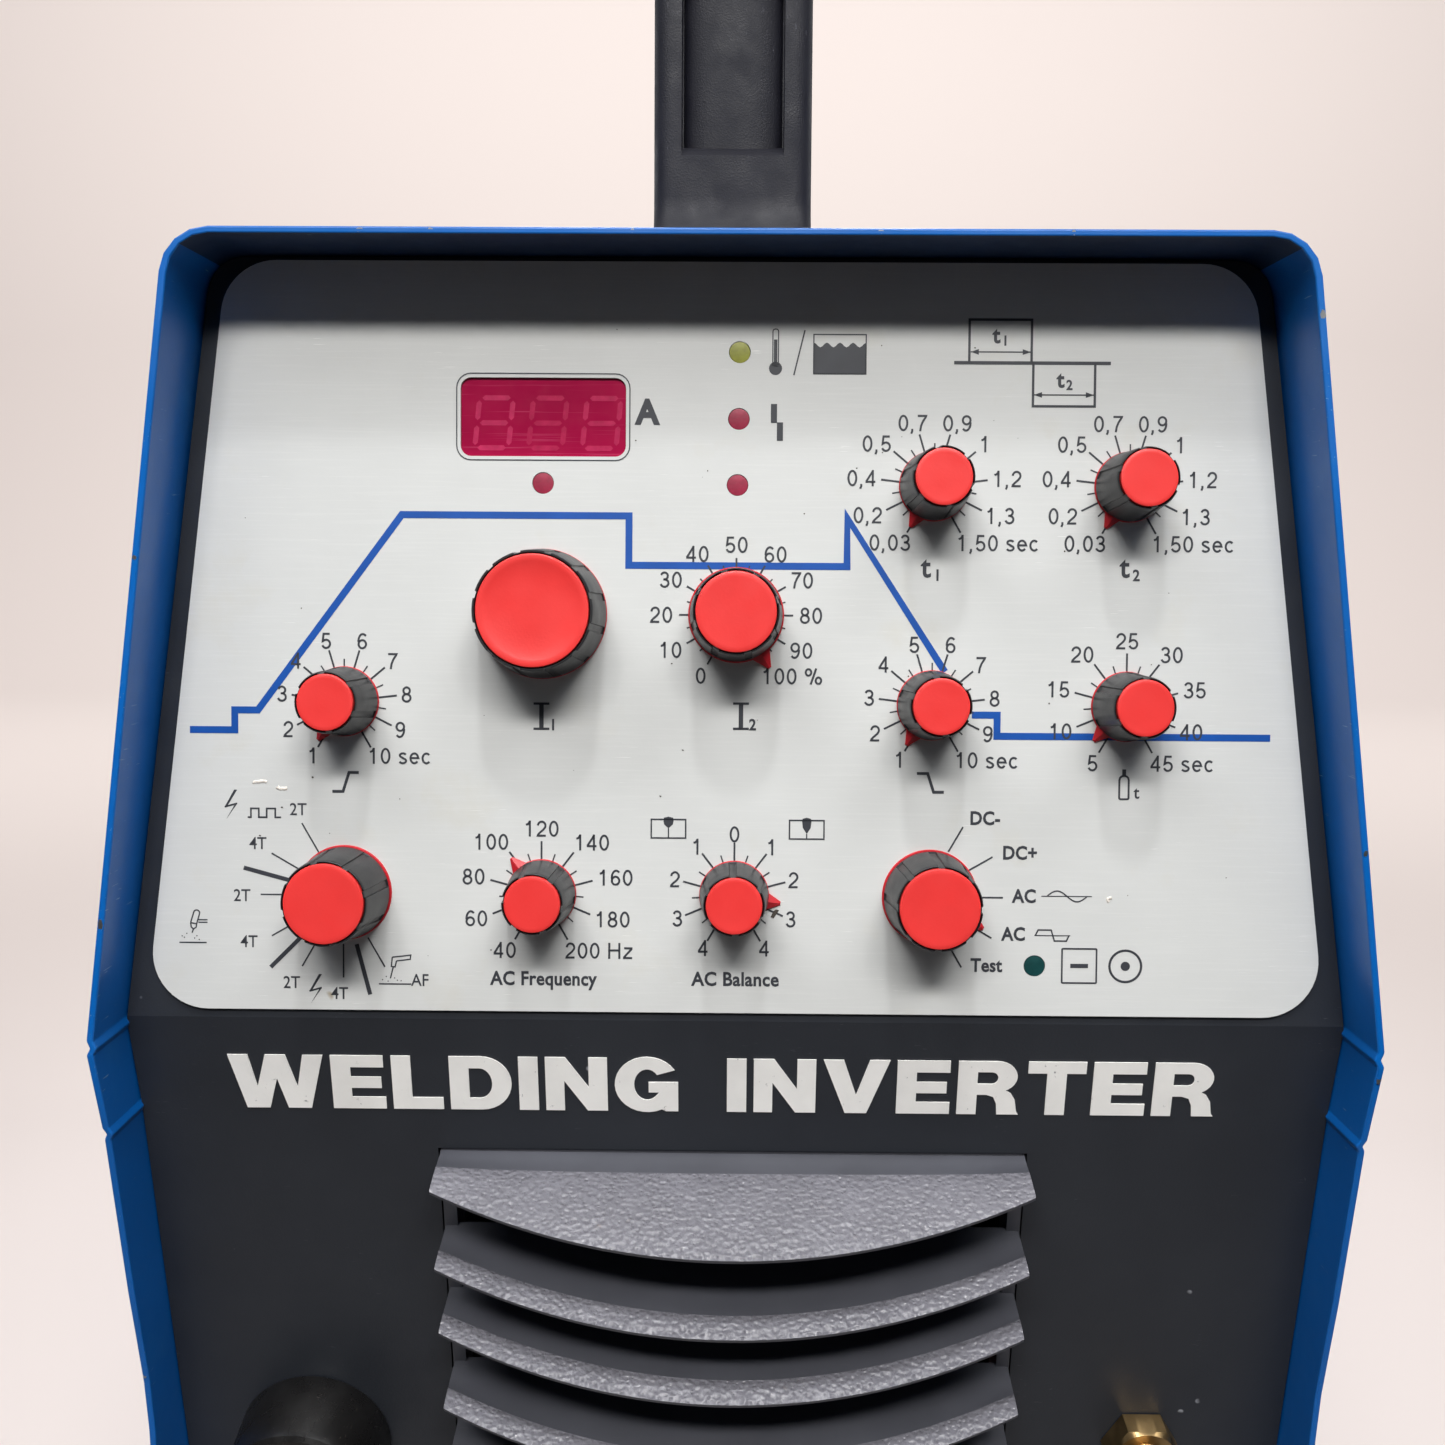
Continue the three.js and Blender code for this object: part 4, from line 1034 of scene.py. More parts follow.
def torch_icon(ink, centre):
    """A torch leaning over the work, with its two leads and a few sparks."""
    u, v = centre
    body = rounded([(-0.75, 0.45, 0.1), (0.55, 0.2, 0.1), (1.35, 3.0, 0.6), (0.1, 3.35, 0.6)], 4)
    ink.line([(u + x, v + y) for x, y in body], 0.28, closed=True)
    ink.line([(u - 0.75, v + 0.45), (u - 0.65, v - 0.45), (u - 0.15, v - 0.95), (u + 0.45, v - 0.5),
              (u + 0.55, v + 0.2)], 0.28)
    ink.bar((u - 0.15, v - 0.95), (u - 0.45, v - 1.75), 0.28)
    for lift in (0.55, 1.1):
        ink.bar((u + 0.95, v + lift), (u + 2.9, v + lift), 0.26)
    for x, y in ((-2.6, -2.45), (-1.6, -1.9), (-2.1, -2.75), (0.6, -2.4), (1.1, -3.2), (0.1, -2.9)):
        ink.disc((u + x, v + y), 0.14, 8)
    ink.bar((u - 3.2, v - 3.85), (u + 2.7, v - 3.85), 0.3)


def holder_icon(ink, centre):
    """An electrode in its holder over the work."""
    u, v = centre
    ink.line([(u - 0.7, v + 2.9), (u + 3.3, v + 3.4), (u + 3.2, v + 2.5), (u + 0.2, v + 2.1)], 0.28)
    ink.line([(u - 0.7, v + 2.9), (u - 0.9, v + 0.9), (u - 0.1, v + 0.8), (u + 0.2, v + 2.1)], 0.28)
    ink.bar((u - 0.5, v + 0.8), (u - 1.1, v - 1.7), 0.28)
    for x, y in ((-2.8, -2.0), (-2.0, -1.3), (-0.2, -1.6), (0.4, -2.1), (-1.6, -2.3), (1.2, -2.2)):
        ink.disc((u + x, v + y), 0.14, 8)
    ink.bar((u - 3.6, v - 2.9), (u + 3.4, v - 2.9), 0.3)


def small_icons(ink):
    # slope up and slope down, below their knobs
    ink.line([(-86.6, 47.3), (-84.3, 47.3), (-83, 51.4), (-80.9, 51.4)], 0.62)
    ink.line([(39.0, 52.1), (41.3, 52.1), (42.6, 48.1), (44.8, 48.1)], 0.62)
    # gas bottle with a t
    ink.line(rounded([(82.3, 46.9, 0.3), (84.3, 46.9, 0.3), (84.3, 51.9, 0.9), (82.3, 51.9, 0.9)], 3), 0.42,
             closed=True)
    ink.bar((83.3, 51.9), (83.3, 53.3), 0.8)
    ink.text("t", (86.0, 48.4), 2.6, heavy=0.014)
    # shallow and deep penetration, above the balance knob
    for left, half, depth in ((-17.9, 1.1, 1.9), (11.8, 1.0, 2.9)):
        right, top, bottom = left + 7.4, 41.8, 37.8
        middle = (left + right) / 2
        ink.line([(left, bottom), (right, bottom), (right, top), (left, top)], 0.32, closed=True)
        ink.bar((middle, top - depth), (middle, bottom), 0.26)
        bead = [(middle - half, top - 0.2), (middle - half * 0.85, top - depth * 0.55), (middle, top - depth),
                (middle + half * 0.85, top - depth * 0.55), (middle + half, top - 0.2),
                (middle + half * 0.9, top + 0.35),
                (middle, top + 0.6), (middle - half * 0.9, top + 0.35)]
        ink.shape(bead)
    # thermometer, stroke and coolant tank
    ink.disc((8.0, 138.1), 1.4, 20)
    ink.line(rounded([(7.4, 138.6, 0.1), (8.6, 138.6, 0.1), (8.6, 146.4, 0.5), (7.4, 146.4, 0.5)], 3), 0.24,
             closed=True)
    ink.bar((8.0, 138.4), (8.0, 144.2), 0.75)
    ink.bar((14.2, 146.2), (11.9, 136.7), 0.32)
    ink.line([(16.1, 137), (27.2, 137), (27.2, 145.3), (16.1, 145.3)], 0.26, closed=True)
    surface = [(16.1 + 11.1 * k / 24, 143.1 + 0.5 * math.cos(k * math.pi / 3)) for k in range(25)]
    ink.shape([(16.1, 137), (27.2, 137)] + list(reversed(surface)))
    # fault
    ink.shape([(7.1, 126.6), (8.4, 126.6), (8.4, 130.6), (7.1, 130.6)])
    ink.shape([(8.4, 122.8), (9.7, 122.8), (9.7, 126.7), (8.4, 126.7)])
    # pulse diagram
    ink.bar((45.9, 139.5), (79.1, 139.5), 0.72)
    ink.line([(49.1, 139.5), (49.1, 148.6), (62.3, 148.6), (62.3, 139.5)], 0.52)
    ink.line([(62.7, 139.5), (62.7, 130.4), (75.8, 130.4), (75.8, 139.5)], 0.52)
    for left, right, level in ((49.4, 62.1, 141.8), (62.9, 75.6, 132.8)):
        ink.bar((left, level), (right, level), 0.26)
        for tip, way in ((left, 1), (right, -1)):
            ink.shape([(tip, level), (tip + way * 1.7, level - 0.6), (tip + way * 1.7, level + 0.6)])
    for number, u, v in (("1", 54.8, 145.4), ("2", 68.5, 136.1)):
        ink.text("t", (u, v), 3.3, heavy=0.03)
        ink.text(number, (u + 1.9, v - 1.2), 2.0, heavy=0.03)
    ink.text("A", (-19.2, 128.8), 4.9, heavy=0.045, narrow=0.95)
    # a plain ringed dot and a framed bar stand where approval marks would be
    frame_box = rounded([(70.6, 7.2, 0.2), (78.0, 7.2, 0.2), (78.0, 14.6, 0.2), (70.6, 14.6, 0.2)], 3)
    ink.line(frame_box, 0.36, closed=True)
    ink.bar((72.4, 10.9), (76.2, 10.9), 0.9)
    ink.line(ring_points(3.4, 36, (84.2, 10.9)), 0.5, closed=True)
    ink.disc((84.2, 10.9), 1.0)


def foil_prints():
    """All that is printed on the foil, and the paint and dirt that has landed on it."""
    ink = Print(INK_LEVEL)
    knob_scales(ink)
    captions(ink)
    selector_scales(ink)
    small_icons(ink)
    ink.make("print_scales", "ink", UPPER)
    flow = Print(INK_LEVEL - 0.005)
    flow.line([(-117.3, 60.4), (-107.6, 60.4), (-107.6, 64.7), (-102.6, 64.7), (-71.6, 106.7), (-23.0, 106.7),
               (-23.0, 96.2), (23.6, 96.2), (23.6, 106.5), (44.7, 73.9)], 1.5)
    flow.line([(50.6, 64.7), (56.0, 64.7), (56.0, 60.2), (114.3, 60.2)], 1.5)
    flow.make("print_current_line", "ink_blue", UPPER)
    rnd = random.Random(5)
    smears = []
    for x, y, reach, lean in ((-102.2, 48.3, 2.1, 50), (-97.0, 48.6, 1.8, 205), (81.6, 25.2, 1.3, 120)):
        bend = arc(x, y, reach, 0.5 * reach, lean, lean + 85, 9)
        walked = [(u + rnd.uniform(-0.12, 0.12), v + rnd.uniform(-0.12, 0.12), 0.6) for u, v in bend]
        smears.append(sweep(walked, 0.52, 7))
    piece("paint_smears", from_lists(*joined(*smears)), "smear", at=UPPER, angle=70)
    spots = Print(INK_LEVEL + 0.01)
    _, u, v, _ = KNOBS["ac_balance"]
    smudge = [(-0.8, -1.0), (-0.2, -1.3), (0.5, -0.3), (1.0, 0.5), (0.3, 0.7), (-0.3, 0.2)]
    spots.shape([(u + 8.7 + x, v - 3.6 + y) for x, y in smudge])
    for _ in range(46):
        x, y = rnd.uniform(-118, 112), rnd.uniform(4, 150)
        if abs(x) < 102 + (150 - y) * 0.1:
            size = rnd.uniform(0.1, 0.26)
            spots.shape(blot(rnd, (x, y), (0.5 * size, 1.3 * size), (0.4 * size, 1.1 * size),
                             (0.3, 1.5, 2.6, 3.9, 5.2)))
    spots.make("paint_spots", "spot", UPPER)


STEM, BAR = 0.27, 0.22


def band_glyphs():
    """Heavy capitals for a height of 1: width, outer outline and holes."""
    s, b = STEM, BAR
    bowl = arc(0.44, 0.5, 0.42, 0.5, -90, 90, 16)
    r_bowl = arc(0.53, 0.71, 0.29, 0.29, -70, 90, 12)
    g_outer = arc(0.45, 0.5, 0.45, 0.52, 32, 308, 24)
    g_inner = arc(0.45, 0.5, 0.18, 0.29, -42, -320, 20)
    return {
        "I": (s, [[(0, 0), (s, 0), (s, 1), (0, 1)]]),
        "L": (0.70, [[(0, 0), (0.70, 0), (0.70, b), (s, b), (s, 1), (0, 1)]]),
        "E": (0.74, [[(0, 0), (0.74, 0), (0.74, b), (s, b), (s, 0.39), (0.69, 0.39), (0.69, 0.60),
                      (s, 0.60), (s, 1 - b), (0.73, 1 - b), (0.73, 1), (0, 1)]]),
        "T": (0.80, [[(0.265, 0), (0.535, 0), (0.535, 1 - b), (0.80, 1 - b), (0.80, 1), (0, 1), (0, 1 - b),
                      (0.265, 1 - b)]]),
        "N": (0.86, [[(0, 0), (0.26, 0), (0.26, 0.56), (0.58, 0), (0.86, 0), (0.86, 1), (0.60, 1),
                      (0.60, 0.44), (0.28, 1), (0, 1)]]),
        "V": (0.92, [[(0.31, 0), (0.61, 0), (0.92, 1), (0.64, 1), (0.46, 0.34), (0.28, 1), (0, 1)]]),
        "W": (1.32, [[(0.21, 0), (0.53, 0), (0.66, 0.56), (0.79, 0), (1.11, 0), (1.32, 1), (1.04, 1),
                      (0.94, 0.40), (0.80, 1), (0.52, 1), (0.38, 0.40), (0.28, 1), (0, 1)]]),
        "D": (0.86, [[(0, 0)] + bowl + [(0, 1)], [(s, b)] + arc(0.42, 0.5, 0.17, 0.28, -90, 90, 12)
                     + [(s, 1 - b)]]),
        "R": (0.86, [[(0, 0), (s, 0), (s, 0.37), (0.40, 0.37), (0.50, 0.33), (0.545, 0.20), (0.56, 0),
                      (0.86, 0), (0.83, 0.06), (0.80, 0.28), (0.74, 0.40), (0.66, 0.455)] + r_bowl + [(0, 1)],
                     [(s, 0.575), (0.46, 0.575)] + arc(0.47, 0.685, 0.085, 0.11, -90, 90, 8) + [(s, 0.795)]]),
        "G": (0.90, [g_outer + [(0.68, 0.08), (0.71, 0.0), (0.88, 0), (0.88, 0.55), (0.47, 0.55),
                                (0.47, 0.355), (0.62, 0.355)] + g_inner]),
    }


def name_band():
    """The type of machine in heavy raised letters across the lower panel."""
    glyphs = band_glyphs()
    words, cap, stretch, gap = "WELDING INVERTER", 13.2, 1.2, 1.6
    word_space, middle, baseline = 7.2, -2.5, -22.3
    widths = [glyphs[c][0] * cap * stretch if c in glyphs else word_space for c in words]
    left = middle - (sum(widths) + gap * (len(words) - 1)) / 2
    verts, faces = [], []
    for c, width in zip(words, widths):
        if c in glyphs:
            outlines = [[(left + x * cap * stretch, baseline + y * cap) for x, y in outline]
                        for outline in glyphs[c][1]]
            mesh = curve_plate(outlines, 0.02, 0.26)
            verts, faces = joined((verts, faces), ([tuple(v.co / MM) for v in mesh.vertices],
                                                   [tuple(p.vertices) for p in mesh.polygons]))
            bpy.data.meshes.remove(mesh)
        left += width + gap
    piece("print_name_band", from_lists(verts, faces), "ink_white", at=LOWER, angle=30)


# ---------- knobs ----------
LIFT = 1.4


def knob(name, size, u, v, angle):
    """A collet knob: a tapered body with shallow grooves, a pressed-in cap and a pointer ring under it."""
    base, rim, cap, height = (size[k] for k in ("base", "rim", "cap", "height"))
    pointer, grooves = size["pointer"], size["grooves"]
    at = UPPER @ shift(u, v) @ Matrix.Rotation(math.radians(-angle), 4, "Z")
    sector = 2 * math.pi / grooves
    groove = 1.75 / base
    edge = 0.14 / base
    angles = []
    for k in range(grooves):
        start = k * sector + 0.2
        lobe = sector - groove
        angles += [start, start + edge, start + groove / 2, start + groove - edge, start + groove]
        angles += [start + groove + lobe * m / 9 for m in range(1, 9)]

    def cut(a, radius, z):
        if radius < rim - 0.35 or z < LIFT + 0.6 or z > height - 0.05:
            return radius
        across = (a - 0.2) % sector
        inside = edge * 0.9 < across < groove - edge * 0.9
        return radius - (0.34 if inside else 0)

    floor = height - 2.2
    shaft = [(0, -13), (2.6, -13), (3, -12.6), (3, LIFT + 0.1)]
    flank = [(base - 0.35, LIFT + 0.1), (base, LIFT + 0.45), (base, LIFT + 0.75), (base - 0.03, LIFT + 1.3),
             ((base + rim) / 2, height / 2), (rim + 0.06, height - 1.1)]
    mouth = [(rim, height - 0.75), (rim - 0.1, height - 0.4), (rim - 0.22, height - 0.3),
             (cap + 0.3, height - 0.3), (cap + 0.24, height - 0.5), (cap + 0.24, floor), (0, floor)]
    profile = shaft + flank + mouth
    body = lathe(profile, wave=cut, angles=angles)
    piece("knob_" + name + "_body", from_lists(*body), "knob", name, at, ["knob_" + name],
          angle=20)
    dish = 0.75 if size is LARGE else 0.05
    top = height + 0.05
    lip = cap - 0.4
    face = [(0, floor + 0.1), (cap - 0.1, floor + 0.1), (cap, floor + 0.3), (cap, top - 0.35),
            (cap - 0.1, top - 0.1), (lip, top)]
    face += [(lip * k / 10, top - dish * (1 - (k / 10) ** 4)) for k in range(9, -1, -1)]
    piece("cap_" + name + "_disc", from_lists(*lathe(face, 96)), "cap", name, at,
          ["cap_" + name], angle=40)
    proud = 0.35 if size is MEDIUM else 0.12
    rim_out = base + proud
    disc = [(3.1, LIFT - 0.75), (rim_out - 0.2, LIFT - 0.75), (rim_out, LIFT - 0.55), (rim_out, LIFT - 0.2),
            (rim_out - 0.2, LIFT), (3.1, LIFT)]
    part = lathe(disc, 72)
    if pointer:
        part = joined(part, pointer_tip(base, pointer, 2.0 if size is SMALL else 2.5))
    piece("pointer_" + name, from_lists(*part), "pointer", name, at, angle=24)


def pointer_tip(base, reach, half):
    """A blunt triangular tab with a low ridge, beside the knob's foot."""
    foot, low, high = base - 0.6, LIFT - 0.7, LIFT + 0.15
    verts = [(-half, foot, low), (half, foot, low), (0.35, reach, low), (-0.35, reach, low),
             (-half, foot, high), (half, foot, high), (0.35, reach, low + 0.5), (-0.35, reach, low + 0.5),
             (0, foot, LIFT + 1.1), (0, reach - 0.3, LIFT + 0.1)]
    faces = [(3, 2, 1, 0), (0, 1, 5, 8, 4), (1, 2, 6, 5), (2, 3, 7, 6), (3, 0, 4, 7), (5, 6, 9, 8),
             (6, 7, 9), (4, 8, 9, 7)]
    return verts, faces


# ---------- louvre grille ----------
GRILLE_HALF = 65.5
VANE_DROPS = [32.6, 52.2, 68.9, 89.3, 106, 126.4]


def vanes():
    """Each vane bows out and down. The first is grained nearly all over, the others along the lip."""
    stations = 61
    for index, drop in enumerate(VANE_DROPS):
        w = drop / math.cos(LOWER_TILT)
        back_y, back_z = lower_point(w, -1.5)
        panel_y = lower_point(w, 0)[0]
        verts, faces, grained = [], [], []
        for i in range(stations):
            t = 2 * i / (stations - 1) - 1
            bow = 1 - t * t
            reach = 12.6 + 11.6 * bow
            tip = (panel_y - reach, back_z - 3.9 - 8.9 * bow)
            root = (back_y, back_z)
            run = math.dist(tip, root)
            # the first vane is grained from a straight crease 7 mm out, the others along the lip only
            share = 1 - 7.0 / run if index == 0 else 5.4 / run

            def along(k, lift=0.0):
                return tip[0] + (root[0] - tip[0]) * k, tip[1] + (root[1] - tip[1]) * k + lift

            crown = 0.9 if index == 0 else 0.25
            section = [root, along((share + 1) / 2, 0.15), along(share, 0.3), along(share - 0.02, 0.5),
                       along(share * 0.66, 0.5 + crown * 0.8 * bow),
                       along(share * 0.33, 0.42 + crown * 0.7 * bow), along(0.025, 0.28), tip,
                       (tip[0] + 0.35, tip[1] - 0.75), (tip[0] + 1.6, tip[1] - 0.5),
                       (tip[0] + 3, tip[1] + 0.5), (root[0], root[1] - 2.3)]
            x = t * (GRILLE_HALF - 0.3)
            verts.extend([(x, y, z) for y, z in section])
        ring = len(section)
        for i in range(stations - 1):
            for j in range(ring):
                k = (j + 1) % ring
                faces.append((i * ring + j, i * ring + k, (i + 1) * ring + k, (i + 1) * ring + j))
                grained.append(1 if 2 <= j <= 6 else 0)
        faces.append(tuple(reversed(range(ring))))
        faces.append(tuple(range((stations - 1) * ring, stations * ring)))
        grained.extend([1, 1])
        mesh = from_lists(verts, faces)
        obj = piece("vane_%d" % (index + 1), mesh, ["vane", "grain"], angle=40,
                    replaces=["louvre_grille"] if index == 0 else ())
        obj.data.polygons.foreach_set("material_index", grained)


def grille_frame():
    """The rim round the vanes, a sill below the last one and three ribs behind."""
    c = math.cos(LOWER_TILT)
    top, bottom = -32.2 / c, -144 / c
    outer = rounded([(-GRILLE_HALF, bottom, 1), (GRILLE_HALF, bottom, 1), (GRILLE_HALF, top, 1),
                     (-GRILLE_HALF, top, 1)], 3)
    inner = rounded([(-GRILLE_HALF + 3, bottom + 3, 1.5), (GRILLE_HALF - 3, bottom + 3, 1.5),
                     (GRILLE_HALF - 3, top - 3, 1.5), (-GRILLE_HALF + 3, top - 3, 1.5)], 3)
    mesh = curve_plate([outer, inner], -8, -0.4)
    piece("grille_frame", mesh, "vane", at=LOWER, angle=30)
    sill = prism([(-GRILLE_HALF, bottom), (GRILLE_HALF, bottom), (GRILLE_HALF, bottom + 4),
                  (-GRILLE_HALF, bottom + 4)], -8, 0.6)
    piece("grille_sill", from_lists(*sill), "vane", at=LOWER, bevel=0.5)
    ribs = [box((x - 1, x + 1), (bottom + 3, top - 3), (-9, -5)) for x in (-33, 0, 33)]
    piece("grille_ribs", from_lists(*joined(*ribs)), "black", at=LOWER, bevel=0.4)


# ---------- sockets ----------
SOCKETS = {"work_socket": (-99.4, 112.8), "torch_socket": (96, 158)}


def current_socket(name, u, w):
    """A plastic collar round a brass contact with a key in it."""
    at = LOWER @ shift(u, -w)
    collar = [(11.4, -12), (13.8, -12), (14, -11.6), (14, 0.3), (17.7, 0.3), (17.9, 0.7), (17.6, 9),
              (17.1, 15.8), (16.6, 17.2), (15.6, 18), (13.4, 18), (12.2, 17.4), (11.4, 16.2)]
    piece(name + "_collar_ring", from_lists(*lathe(collar, 96)), "socket", at=at,
          replaces=[name + "_collar"], angle=30)
    contact = [(0, -32), (4.6, -32), (5, -31.6), (5, -22), (11, -22), (11, 12), (10.6, 12.5), (7.2, 12.5),
               (6.6, 11.9), (6.6, -13), (5.4, -14), (0, -14)]
    piece(name + "_contact_brass", from_lists(*lathe(contact, 64)), "brass", at=at,
          replaces=[name + "_contact"], angle=30)
    key = box((-1.6, 1.6), (6.4, 8.4), (-10, 12.4))
    key_turn = Matrix.Rotation(math.radians(40), 4, "Z")
    piece(name + "_key", from_lists(*key), "brass", at=at @ key_turn, bevel=0.3)


def hexagon(across_corner, z0, z1, turn=0.0, chamfer=0.7):
    """A hexagon nut whose corners are cut back by a cone at its outer face."""
    count = 60
    verts, faces = [], []
    flat = across_corner * math.cos(math.pi / 6)
    for z, cut in ((z0, 0), (z1 - chamfer, 0), (z1, 1)):
        for i in range(count):
            a = 2 * math.pi * i / count
            local = (a % (math.pi / 3)) - math.pi / 6
            r = flat / math.cos(local)
            if cut:
                r = min(r, flat * 0.97)
            elif z > z0 + 0.01:
                r = min(r, flat * 0.97 + (across_corner - flat * 0.97) * 0.98)
            verts.append((r * math.cos(a + turn), r * math.sin(a + turn), z))
    for ring in range(2):
        for i in range(count):
            j = (i + 1) % count
            faces.append((ring * count + i, ring * count + j, (ring + 1) * count + j, (ring + 1) * count + i))
    faces.append(tuple(reversed(range(count))))
    faces.append(tuple(range(2 * count, 3 * count)))
    return verts, faces


def gas_outlet():
    """A threaded brass stub through the panel, with a nut outside and a nut behind."""
    at = LOWER @ shift(97.6, -111.3)
    nut = hexagon(9, 0.3, 6.5, 0, 0.8)
    stub = lathe([(2, -16), (5, -16), (5.4, -15.6), (5.4, 0.5), (5.2, 6), (5, 6.6), (4.6, 7.2), (4.9, 7.6),
                  (4.9, 13.2), (4.5, 13.8), (3, 13.8), (2.4, 13), (2, 12)], 48)
    piece("gas_outlet_nut", from_lists(*joined(nut, stub)), "brass", at=at,
          replaces=["gas_outlet"], angle=28)
    back = hexagon(9, -6, -2.8, 0.2, 0.6)
    ring = lathe([(5.45, -2.75), (8.6, -2.75), (8.6, -2.55), (5.45, -2.55)], 40)
    piece("gas_outlet_backnut", from_lists(*joined(back, ring)), "brass", at=at, angle=28)


def control_socket():
    """A round plated socket with a ring of five pins."""
    at = LOWER @ shift(48, -168)
    shell = lathe([(0, -14), (8.3, -14), (8.6, -13.6), (8.6, 0.3), (11.7, 0.3), (12, 0.6), (12, 2.2),
                   (11.6, 2.5), (10.2, 2.6), (10, 3.2), (10, 5), (9.7, 5.3), (10, 5.6), (10, 7.2),
                   (9.7, 7.5), (10, 7.8), (10, 10.6), (9.7, 11), (8.7, 11), (8.4, 10.7), (8.4, 7.6),
                   (0, 7.6)], 72)
    piece("control_socket_shell", from_lists(*shell), "steel", at=at,
          replaces=["control_socket"], angle=30)
    insert = lathe([(0, 7.62), (8.2, 7.62), (8.2, 8.1), (0, 8.1)], 48)
    piece("control_socket_insert", from_lists(*insert), "black", at=at, angle=30)
    pins = []
    for i in range(5):
        a = 2 * math.pi * i / 5
        pin = lathe([(0, 7.9), (0.9, 7.9), (0.9, 9.6), (0.5, 10), (0, 10)], 16)
        pins.append(moved(pin, Matrix.Translation((5 * math.sin(a), 5 * math.cos(a), 0))))
    piece("control_socket_pins", from_lists(*joined(*pins)), "brass", at=at, angle=40)


# ---------- handle ----------
HANDLE = {"x": -1.6, "front": 62, "rear": 402, "height": 94, "half": 19.3, "post": 30, "grip": 27,
          "channel": 12.5}


def handle():
    """A bar on two posts. Each post has a long pocket in its outer face with a rounded core in it."""
    front, rear, half, post, grip = (HANDLE[k] for k in ("front", "rear", "half", "post", "grip"))
    bottom = TOP_Z + 0.3
    top = TOP_Z + HANDLE["height"]
    outline = rounded([
        (front - 6, bottom, 0), (front - 6, bottom + 8, 3), (front, bottom + 18, 16), (front + 4, top, 20),
        (rear - 4, top, 20), (rear, bottom + 18, 16), (rear + 6, bottom + 8, 3), (rear + 6, bottom, 0),
        (rear - post - 8, bottom, 0), (rear - post - 4, top - grip, 19), (front + post + 4, top - grip, 19),
        (front + post + 8, bottom, 0)], 8)
    outline = densify(outline + [outline[0]], 14)[:-1]
    area = sum(a[0] * b[1] - b[0] * a[1] for a, b in zip(outline, outline[1:] + outline[:1]))
    if area < 0:
        outline.reverse()
    count = len(outline)
    normals = []
    for i in range(count):
        a, b = outline[i - 1], outline[(i + 1) % count]
        d = Vector((b[0] - a[0], b[1] - a[1])).normalized()
        normals.append((d.y, -d.x))
    # sections across the width: a rounded edge each side, and a soft crown between
    edge = 4.5
    turns = [math.pi / 2 * k / 6 for k in range(7)]
    rows = [(-half + edge * (1 - math.cos(a)), edge * (1 - math.sin(a))) for a in turns]
    crown = [(x, 0.0) for x in (-9, -4.5, 0, 4.5, 9)]
    spans = rows + crown + [(-x, inset) for x, inset in reversed(rows)]
    verts, faces = [], []
    for x, inset in spans:
        for (y, z), (ny, nz) in zip(outline, normals):
            k = inset * (0.75 if z > bottom + 0.1 else 0.0)
            verts.append((x, y - ny * k, max(z - nz * k, bottom)))
    for r in range(len(spans) - 1):
        for i in range(count):
            j = (i + 1) % count
            faces.append((r * count + i, r * count + j, (r + 1) * count + j, (r + 1) * count + i))
    faces.append(tuple(reversed(range(count))))
    faces.append(tuple(range((len(spans) - 1) * count, len(spans) * count)))
    body = from_lists(verts, faces)
    obj = piece("handle_body", body, "grip", at=MACHINE @ Matrix.Translation((HANDLE["x"] * MM, 0, 0)),
                replaces=["handle"], angle=34)
    cut_pockets(obj, front, rear, bottom, top)


def cut_pockets(obj, front, rear, bottom, top):
    """Hollows out both posts' outer faces, down to a ledge with a rounded lip."""
    half = HANDLE["channel"]
    ledge, crown = bottom + 34.5, top - 15
    cutters = []
    for face, way in ((front, 1), (rear, -1)):
        lean = way * 4 / (top - bottom - 18)

        def at(z, depth):
            return face + lean * (z - bottom - 18) + way * depth, z

        # the ledge slopes: its front edge is 3 mm lower than its back edge
        side = [at(ledge - 3.2, -30), at(ledge - 3.2, -0.2), at(ledge - 1.9, 0.9), at(ledge - 0.7, 2.6),
                at(ledge, 4.6), at(ledge + 0.5, 6.2), at(crown, 6.2), at(crown, -30)]
        part = prism(side, -half, half)
        cutters.append(([(z, x, y) for x, y, z in part[0]], part[1]))
    mesh = from_lists(*joined(*cutters))
    bm = bmesh.new()
    bm.from_mesh(mesh)
    bmesh.ops.recalc_face_normals(bm, faces=bm.faces)
    bm.to_mesh(mesh)
    bm.free()
    cutter = bpy.data.objects.new("cutter", mesh)
    bpy.context.scene.collection.objects.link(cutter)
    cutter.matrix_world = obj.matrix_world
    modifier = obj.modifiers.new("pockets", "BOOLEAN")
    modifier.operation = "DIFFERENCE"
    modifier.solver = "EXACT"
    modifier.object = cutter
    soften = obj.modifiers.new("soften", "BEVEL")
    soften.width = 1.1 * MM
    soften.segments = 3
    soften.limit_method = "ANGLE"
    soften.angle_limit = math.radians(50)
    bpy.context.view_layer.update()
    graph = bpy.context.evaluated_depsgraph_get()
    made = bpy.data.meshes.new_from_object(obj.evaluated_get(graph))
    obj.modifiers.clear()
    obj.data = made
    made.polygons.foreach_set("use_smooth", [True] * len(made.polygons))
    made.set_sharp_from_angle(angle=math.radians(38))
    bpy.data.objects.remove(cutter)
    for index, (face, way) in enumerate(((front, 1), (rear, -1))):
        pocket_core("handle_core_%d" % (index + 1), face, way, bottom, top, ledge, crown)


